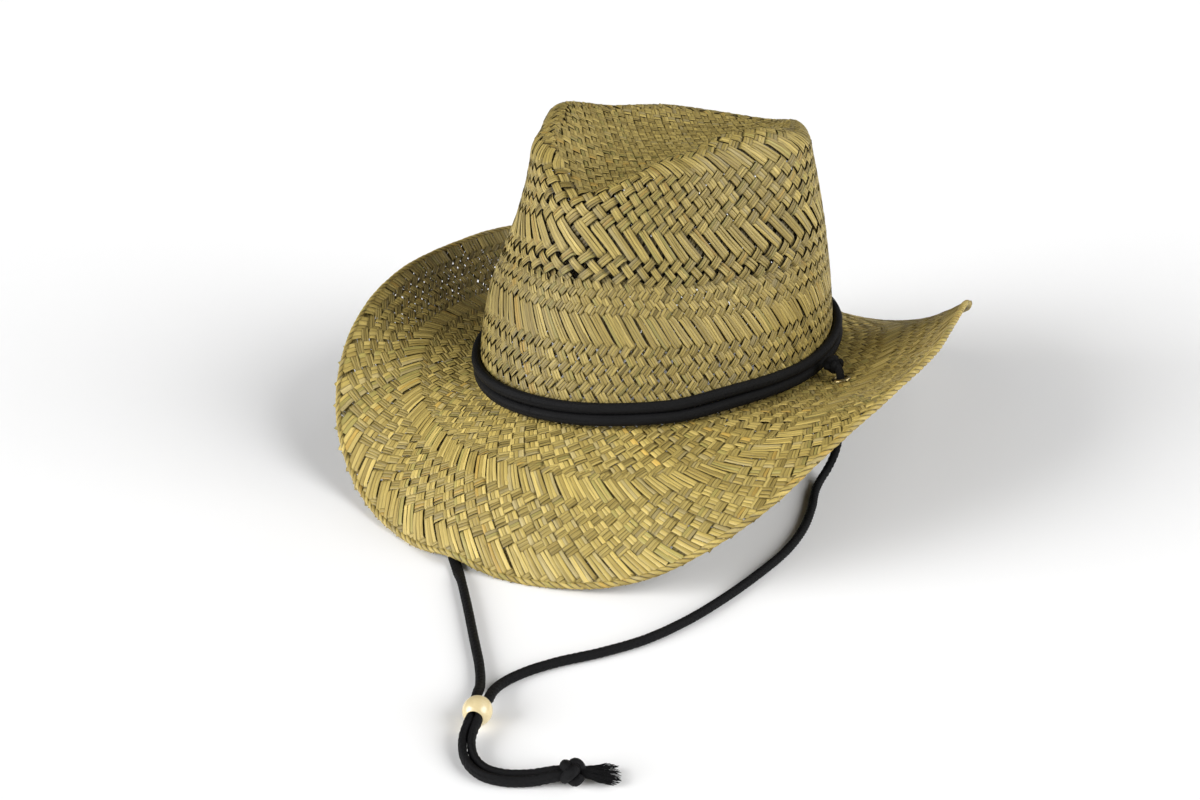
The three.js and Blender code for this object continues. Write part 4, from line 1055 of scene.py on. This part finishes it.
def swell(x, t):
    """The rows run farther out where the brim turns up beside the wearer's left eye."""
    return t + around(x, [-178, 37, 45, 50, 55, 60, 66, 76, 88, 180], [0, 0, 2.0, 5.0, 8.5, 11.0, 10.0, 4.5, 0, 0]) * np.clip(t / 28, 0, 1)


def in_spot(u, row):
    x = u * ROUND / LOWER
    x = x - 1.3 * (row - 8)
    return x, swell(x, in_rows(x, row))


def out_spot(u, row):
    x = u * ROUND / BRIM
    inner = around(x, [-178, -120, -95, -65, -50, -35, -15, 0, 120, 180], [-0.4, -1.0, -1.9, -1.9, -1.3, -0.9, -0.4, -0.36, -0.4, -0.4])
    outer = around(x, [-178, -120, -95, -65, -50, -35, -15, 0, 120, 180], [-0.4, -1.2, -2.0, -2.2, -2.4, -1.6, -0.6, -0.36, -0.4, -0.4])
    x = x + inner * (np.minimum(row, 8) - 0.0) + outer * np.maximum(row - 8, 0)
    return x, swell(x, out_rows(x, row))


def in_reach(x, s, row, rng):
    jag = rng.normal(0, 0.22, (len(x), 1))
    return row < 9.6, 1.25 * ease(row + jag, 8.0, 9.2)


def out_reach(x, s, row, rng):
    jag = rng.normal(0, 0.22, (len(x), 1))
    return (s < 76.4) & (row > 0.4), 1.25 * ease(-(row + jag), -1.7, -0.8)


def in_fill(x, row, sign):
    return np.ones_like(x)


def out_fill(x, row, sign):
    turn = np.mod(x + ROUND / 2, ROUND) - ROUND / 2
    loose = ease(turn, -178.0, -150.0) * (1 - ease(turn, -108.0, -85.0))
    q = np.where((row > 5.6) & (row < 12.4), 0.97 - 0.12 * loose, 0.97)
    floats = ((row > 2.6) & (row < 5.4)) | ((row > 12.6) & (row < 15.4))
    return np.where(floats, np.where(sign > 0, 0.90, 1.04), q)


def brim_painted_shade(x, s):
    """Painted shade: the inside of the turned-up right side is darker, standing for the shade inside the curl."""
    return around(x, [-178, -125, -100, -72, -50, 180], [0, 0.1, 0.42, 0.42, 0, 0]) * ease(s, 8.0, 30.0)


in_a, out_a = signs_of(IN_CHART), signs_of(OUT_CHART)
for fam, sg, st, gain in (("A", 1, 0.5, 0.97), ("B", -1, -0.5, 0.70)):
    inner = weave(brim_surface, LOWER, in_a * sg, st, in_spot, in_fill, in_reach, seed=20 + ord(fam), gain=gain, shade=0.7, tone=brim_painted_shade)
    outer = weave(brim_surface, BRIM, out_a * sg, st, out_spot, out_fill, out_reach, seed=30 + ord(fam), gain=gain, shade=0.7, trim=76.1, tone=brim_painted_shade)
    for part in (inner, outer):
        for side in (1, -1):
            at, axis = eyelet_frame(side)
            d = part[0] - at
            up = d @ axis
            flat = d - up[:, None] * axis
            r = np.linalg.norm(flat, axis=1)
            hole = 3.45
            grow = np.where((r < hole * 3.2) & (np.abs(up) < 6), (r**4 + hole**4) ** 0.25 / np.maximum(r, 1e-3), 1)
            part[0] = at + up[:, None] * axis + flat * grow[:, None]
        part[0][:, 2] = np.maximum(part[0][:, 2], 0.05)
    straw_piece("brim_inner_weave_" + fam.lower(), [inner], *(["brim"] if fam == "A" else []))
    straw_piece("brim_outer_weave_" + fam.lower(), [outer])


# ---- crease: a flat weave laid into the hollow of the crown ------------------------------------------------------------
GX, GY = np.arange(-80, 80.5, 0.5), np.arange(-85, 115.5, 0.5)
acc, cnt = np.zeros((len(GX), len(GY))), np.zeros((len(GX), len(GY)))
dd = np.arange(0, 360, 0.4)
for pts in [crease(dd, u) for u in np.linspace(0, 1, 160)] + [shoulder(dd, t) for t in np.linspace(np.pi / 2, 0.5, 40)]:
    ix, iy = np.round((pts[:, 0] + 80) / 0.5).astype(int), np.round((pts[:, 1] + 85) / 0.5).astype(int)
    ok = (ix >= 0) & (ix < len(GX)) & (iy >= 0) & (iy < len(GY))
    np.add.at(acc, (ix[ok], iy[ok]), pts[ok, 2])
    np.add.at(cnt, (ix[ok], iy[ok]), 1)
ZG = np.where(cnt > 0, acc / np.maximum(cnt, 1), np.nan)
for _ in range(60):
    bad = np.isnan(ZG)
    if not bad.any():
        break
    pad = np.pad(ZG, 1, constant_values=np.nan)
    near = np.stack([pad[1 + a:pad.shape[0] - 1 + a, 1 + b:pad.shape[1] - 1 + b] for a in (-1, 0, 1) for b in (-1, 0, 1)])
    num, den = np.nansum(near, 0), (~np.isnan(near)).sum(0)
    ZG = np.where(bad & (den > 0), num / np.maximum(den, 1), ZG)
ZG = np.where(np.isnan(ZG), np.nanmin(ZG), ZG)
for _ in range(3):
    pad = np.pad(ZG, 1, mode="edge")
    ZG = sum(pad[1 + a:pad.shape[0] - 1 + a, 1 + b:pad.shape[1] - 1 + b] for a in (-1, 0, 1) for b in (-1, 0, 1)) / 9
ZX, ZY = np.gradient(ZG, 0.5)


def plan_pick(g, x, y):
    fx, fy = np.clip((x + 80) / 0.5, 0, len(GX) - 1.001), np.clip((y + 85) / 0.5, 0, len(GY) - 1.001)
    i, j = fx.astype(int), fy.astype(int)
    fx, fy = fx - i, fy - j
    return (g[i, j] * (1 - fx) + g[i + 1, j] * fx) * (1 - fy) + (g[i, j + 1] * (1 - fx) + g[i + 1, j + 1] * fx) * fy


def crease_at(x, y):
    n = unit(np.stack([-plan_pick(ZX, x, y), -plan_pick(ZY, x, y), np.ones_like(x)], -1))
    return np.stack([x, y, plan_pick(ZG, x, y)], -1) - n * STRAW / 2, n


POL = np.radians(np.linspace(-180, 180, 721))
RIMR = smooth(RADIUS, np.degrees(POL))


def inside_rim(x, y):
    """How far inside the crown's rim a plan point lies, along its own radius."""
    return np.interp(np.arctan2(x, -y), POL, RIMR) - np.hypot(x, y)


def flat_weave(family, cell=3.9, delta=0.42, gain=1.0):
    a, b = (1, 1) if family == "A" else (-1, 1)
    d, e = np.array([a, b]) / math.sqrt(2), np.array([-a, b]) / math.sqrt(2)
    lines, rows = np.arange(-34, 38), np.arange(-34, 38)
    rr = np.concatenate([[i - 0.33, i + 0.33, i + 0.5] for i in rows])
    near, half = np.repeat(rows, 3), np.tile([0, 0, 1], len(rows))
    rng = np.random.default_rng(5 + ord(family))
    l = lines[:, None] + 0.07 * np.sin(rr[None] * 0.3 + rng.uniform(0, 6.28, (len(lines), 1)))
    x = (rr[None] * d[0] + l * e[0]) * cell
    y = (rr[None] * d[1] + l * e[1]) * cell + 12
    sign = np.where((near[None] + lines[:, None]) % 2 == 0, 1, -1) * (1 if family == "A" else -1)
    h = np.where(half[None] == 1, 0, sign) * delta
    deep = inside_rim(x, y)
    p, n = crease_at(x, y)
    lat = unit(np.cross(n, unit(np.gradient(p, axis=1))))
    side = crease_at(x + e[0] * cell / 2, y + e[1] * cell / 2)[0] - crease_at(x - e[0] * cell / 2, y - e[1] * cell / 2)[0]
    width = np.abs((side * lat).sum(-1)) * 0.95
    # Painted shade: strands are darker where they pass under their neighbours.
    low = np.clip((0.45 - h / delta) / 1.45, 0, 1)
    h = h - 1.35 * (1 - ease(deep, -0.5, 4.0))
    return strands(p, n, lat, width, h, deep > -2.2, 1.0 - np.broadcast_to(half[None], h.shape), thick=0.7, gain=gain, deep=low, inner=0.4,
                   seed=40 + ord(family), subs=2)


for fam, gain in (("A", 0.72), ("B", 0.64)):
    straw_piece("crease_weave_" + fam.lower(), [flat_weave(fam, gain=gain)])


# ---- edge: three strips twisted round the rim of the brim like a rope -----------------------------------------------------
def rim_rope(radius=1.5, inset=1.75, depth=0.42, pitch=4.0, plies=3, sides=18, step=0.6):
    deg = np.linspace(0, 360, 1441)

    def line(d):
        w = smooth(WIDTH, d)
        return brim(d, w - inset)[0]

    x = line(deg)
    s = np.concatenate([[0], np.cumsum(np.linalg.norm(np.diff(x, axis=0), axis=1))])
    n = int(s[-1] / step)
    along = np.linspace(0, s[-1], n + 1)[:-1]
    d = np.interp(along, s, deg)
    x = line(d)
    up = brim_surface(d, 78.0 * (1 - inset / smooth(WIDTH, d)))[1]
    run = unit(line(d + 0.4) - line(d - 0.4))
    fwd = unit(np.cross(run, up))
    up = np.cross(fwd, run) * np.sign((np.cross(fwd, run) * up).sum(-1, keepdims=True))
    rounds = max(1, round(s[-1] / (plies * pitch)))
    u = np.arange(sides)[None] / sides * plies + 0 * along[:, None]
    turn = np.arange(sides)[None] / sides - along[:, None] / s[-1] * rounds
    frac = u - np.floor(u)
    high = np.sqrt(np.clip(1 - (2 * frac - 1) ** 2, 0, 1))
    # Strips that wrap the rim never pull quite even.
    uneven = 0.06 * np.sin(along * 0.21) + 0.05 * np.sin(along * 0.53 + 1.0)
    r = (radius + uneven)[:, None] - depth * (1 - high)
    off = np.cos(2 * np.pi * turn)[..., None] * fwd[:, None] + np.sin(2 * np.pi * turn)[..., None] * up[:, None]
    v = x[:, None] + off * r[..., None]
    v[..., 2] = np.maximum(v[..., 2], 0.02)
    # Each strip wraps once or so before the next one takes over.
    rng = np.random.default_rng(91)
    which = (np.floor(u) + plies * np.floor(along[:, None] / s[-1] * rounds * 1.0 + u / plies)).astype(int)
    shade = tints(rng, which.max() + 1, 0.86)
    tint_and_shade = np.ones((n, sides, 4))
    # Painted shade: each ply is darker towards the grooves between plies, and the alpha marks the ply edges where the
    # material paints dark lines of shade.
    tint_and_shade[..., :3] = shade[which] * (0.55 + 0.45 * high)[..., None]
    tint_and_shade[..., 3] = 0.5 * (1 - np.abs(2 * frac - 1))
    fibre = np.stack(np.broadcast_arrays(frac * 3.0, along[:, None] * 1.6, which * 0.137), -1)
    ob = build("brim_edge_rope", v.reshape(-1, 3), ring_faces(n, sides, True), uv=ring_uv(n, sides, True).reshape(-1, 2),
               points={"fibre": ("FLOAT_VECTOR", fibre.reshape(-1, 3)), "tint_and_shade": ("FLOAT_COLOR", tint_and_shade.reshape(-1, 4))})
    return finish_piece(ob, STRAW_MAT, "straw", "brim_edge")


rim_rope()


# ======================================================================================================================
# Floor and light
# ======================================================================================================================
def floor():
    me = bpy.data.meshes.new("floor")
    s = 9.0
    me.from_pydata([(-s, -s, 0), (s, -s, 0), (s, s, 0), (-s, s, 0)], [], [(0, 1, 2, 3)])
    ob = new_object("floor", me)
    m, nt, bsdf = material("pale_floor")
    bsdf.inputs["Base Color"].default_value = (0.93, 0.93, 0.93, 1)
    bsdf.inputs["Roughness"].default_value = 0.9
    bsdf.inputs["Specular IOR Level"].default_value = 0.1
    me.materials.append(m)


floor()


def sun(name, az, el, power, wide, colour=(1, 1, 1)):
    """A soft light as wide as a studio panel, from az degrees round from the front and el above the floor."""
    light = bpy.data.lights.new(name, "SUN")
    light.angle, light.energy, light.color = math.radians(wide), power, colour
    ob = bpy.data.objects.new(name, light)
    scene.collection.objects.link(ob)
    a, e = math.radians(az), math.radians(el)
    to = Vector((math.sin(a) * math.cos(e), -math.cos(a) * math.cos(e), math.sin(e)))
    ob.location = to * 2.5
    ob.rotation_euler = to.to_track_quat("Z", "Y").to_euler()


sun("panel_left", -36, 20, 3.5, 44)
sun("panel_front", -15, 27, 0.85, 50)
sun("panel_right", 101, 25, 3.4, 46)
sun("panel_back", 150, 40, 0.55, 50)
world = bpy.data.worlds.new("world")
world.use_nodes = True
world.node_tree.nodes["Background"].inputs[0].default_value = (1.0, 1.0, 1.0, 1)
world.node_tree.nodes["Background"].inputs[1].default_value = 0.04
scene.world = world
scene.view_settings.view_transform = "Standard"
scene.view_settings.look = "None"
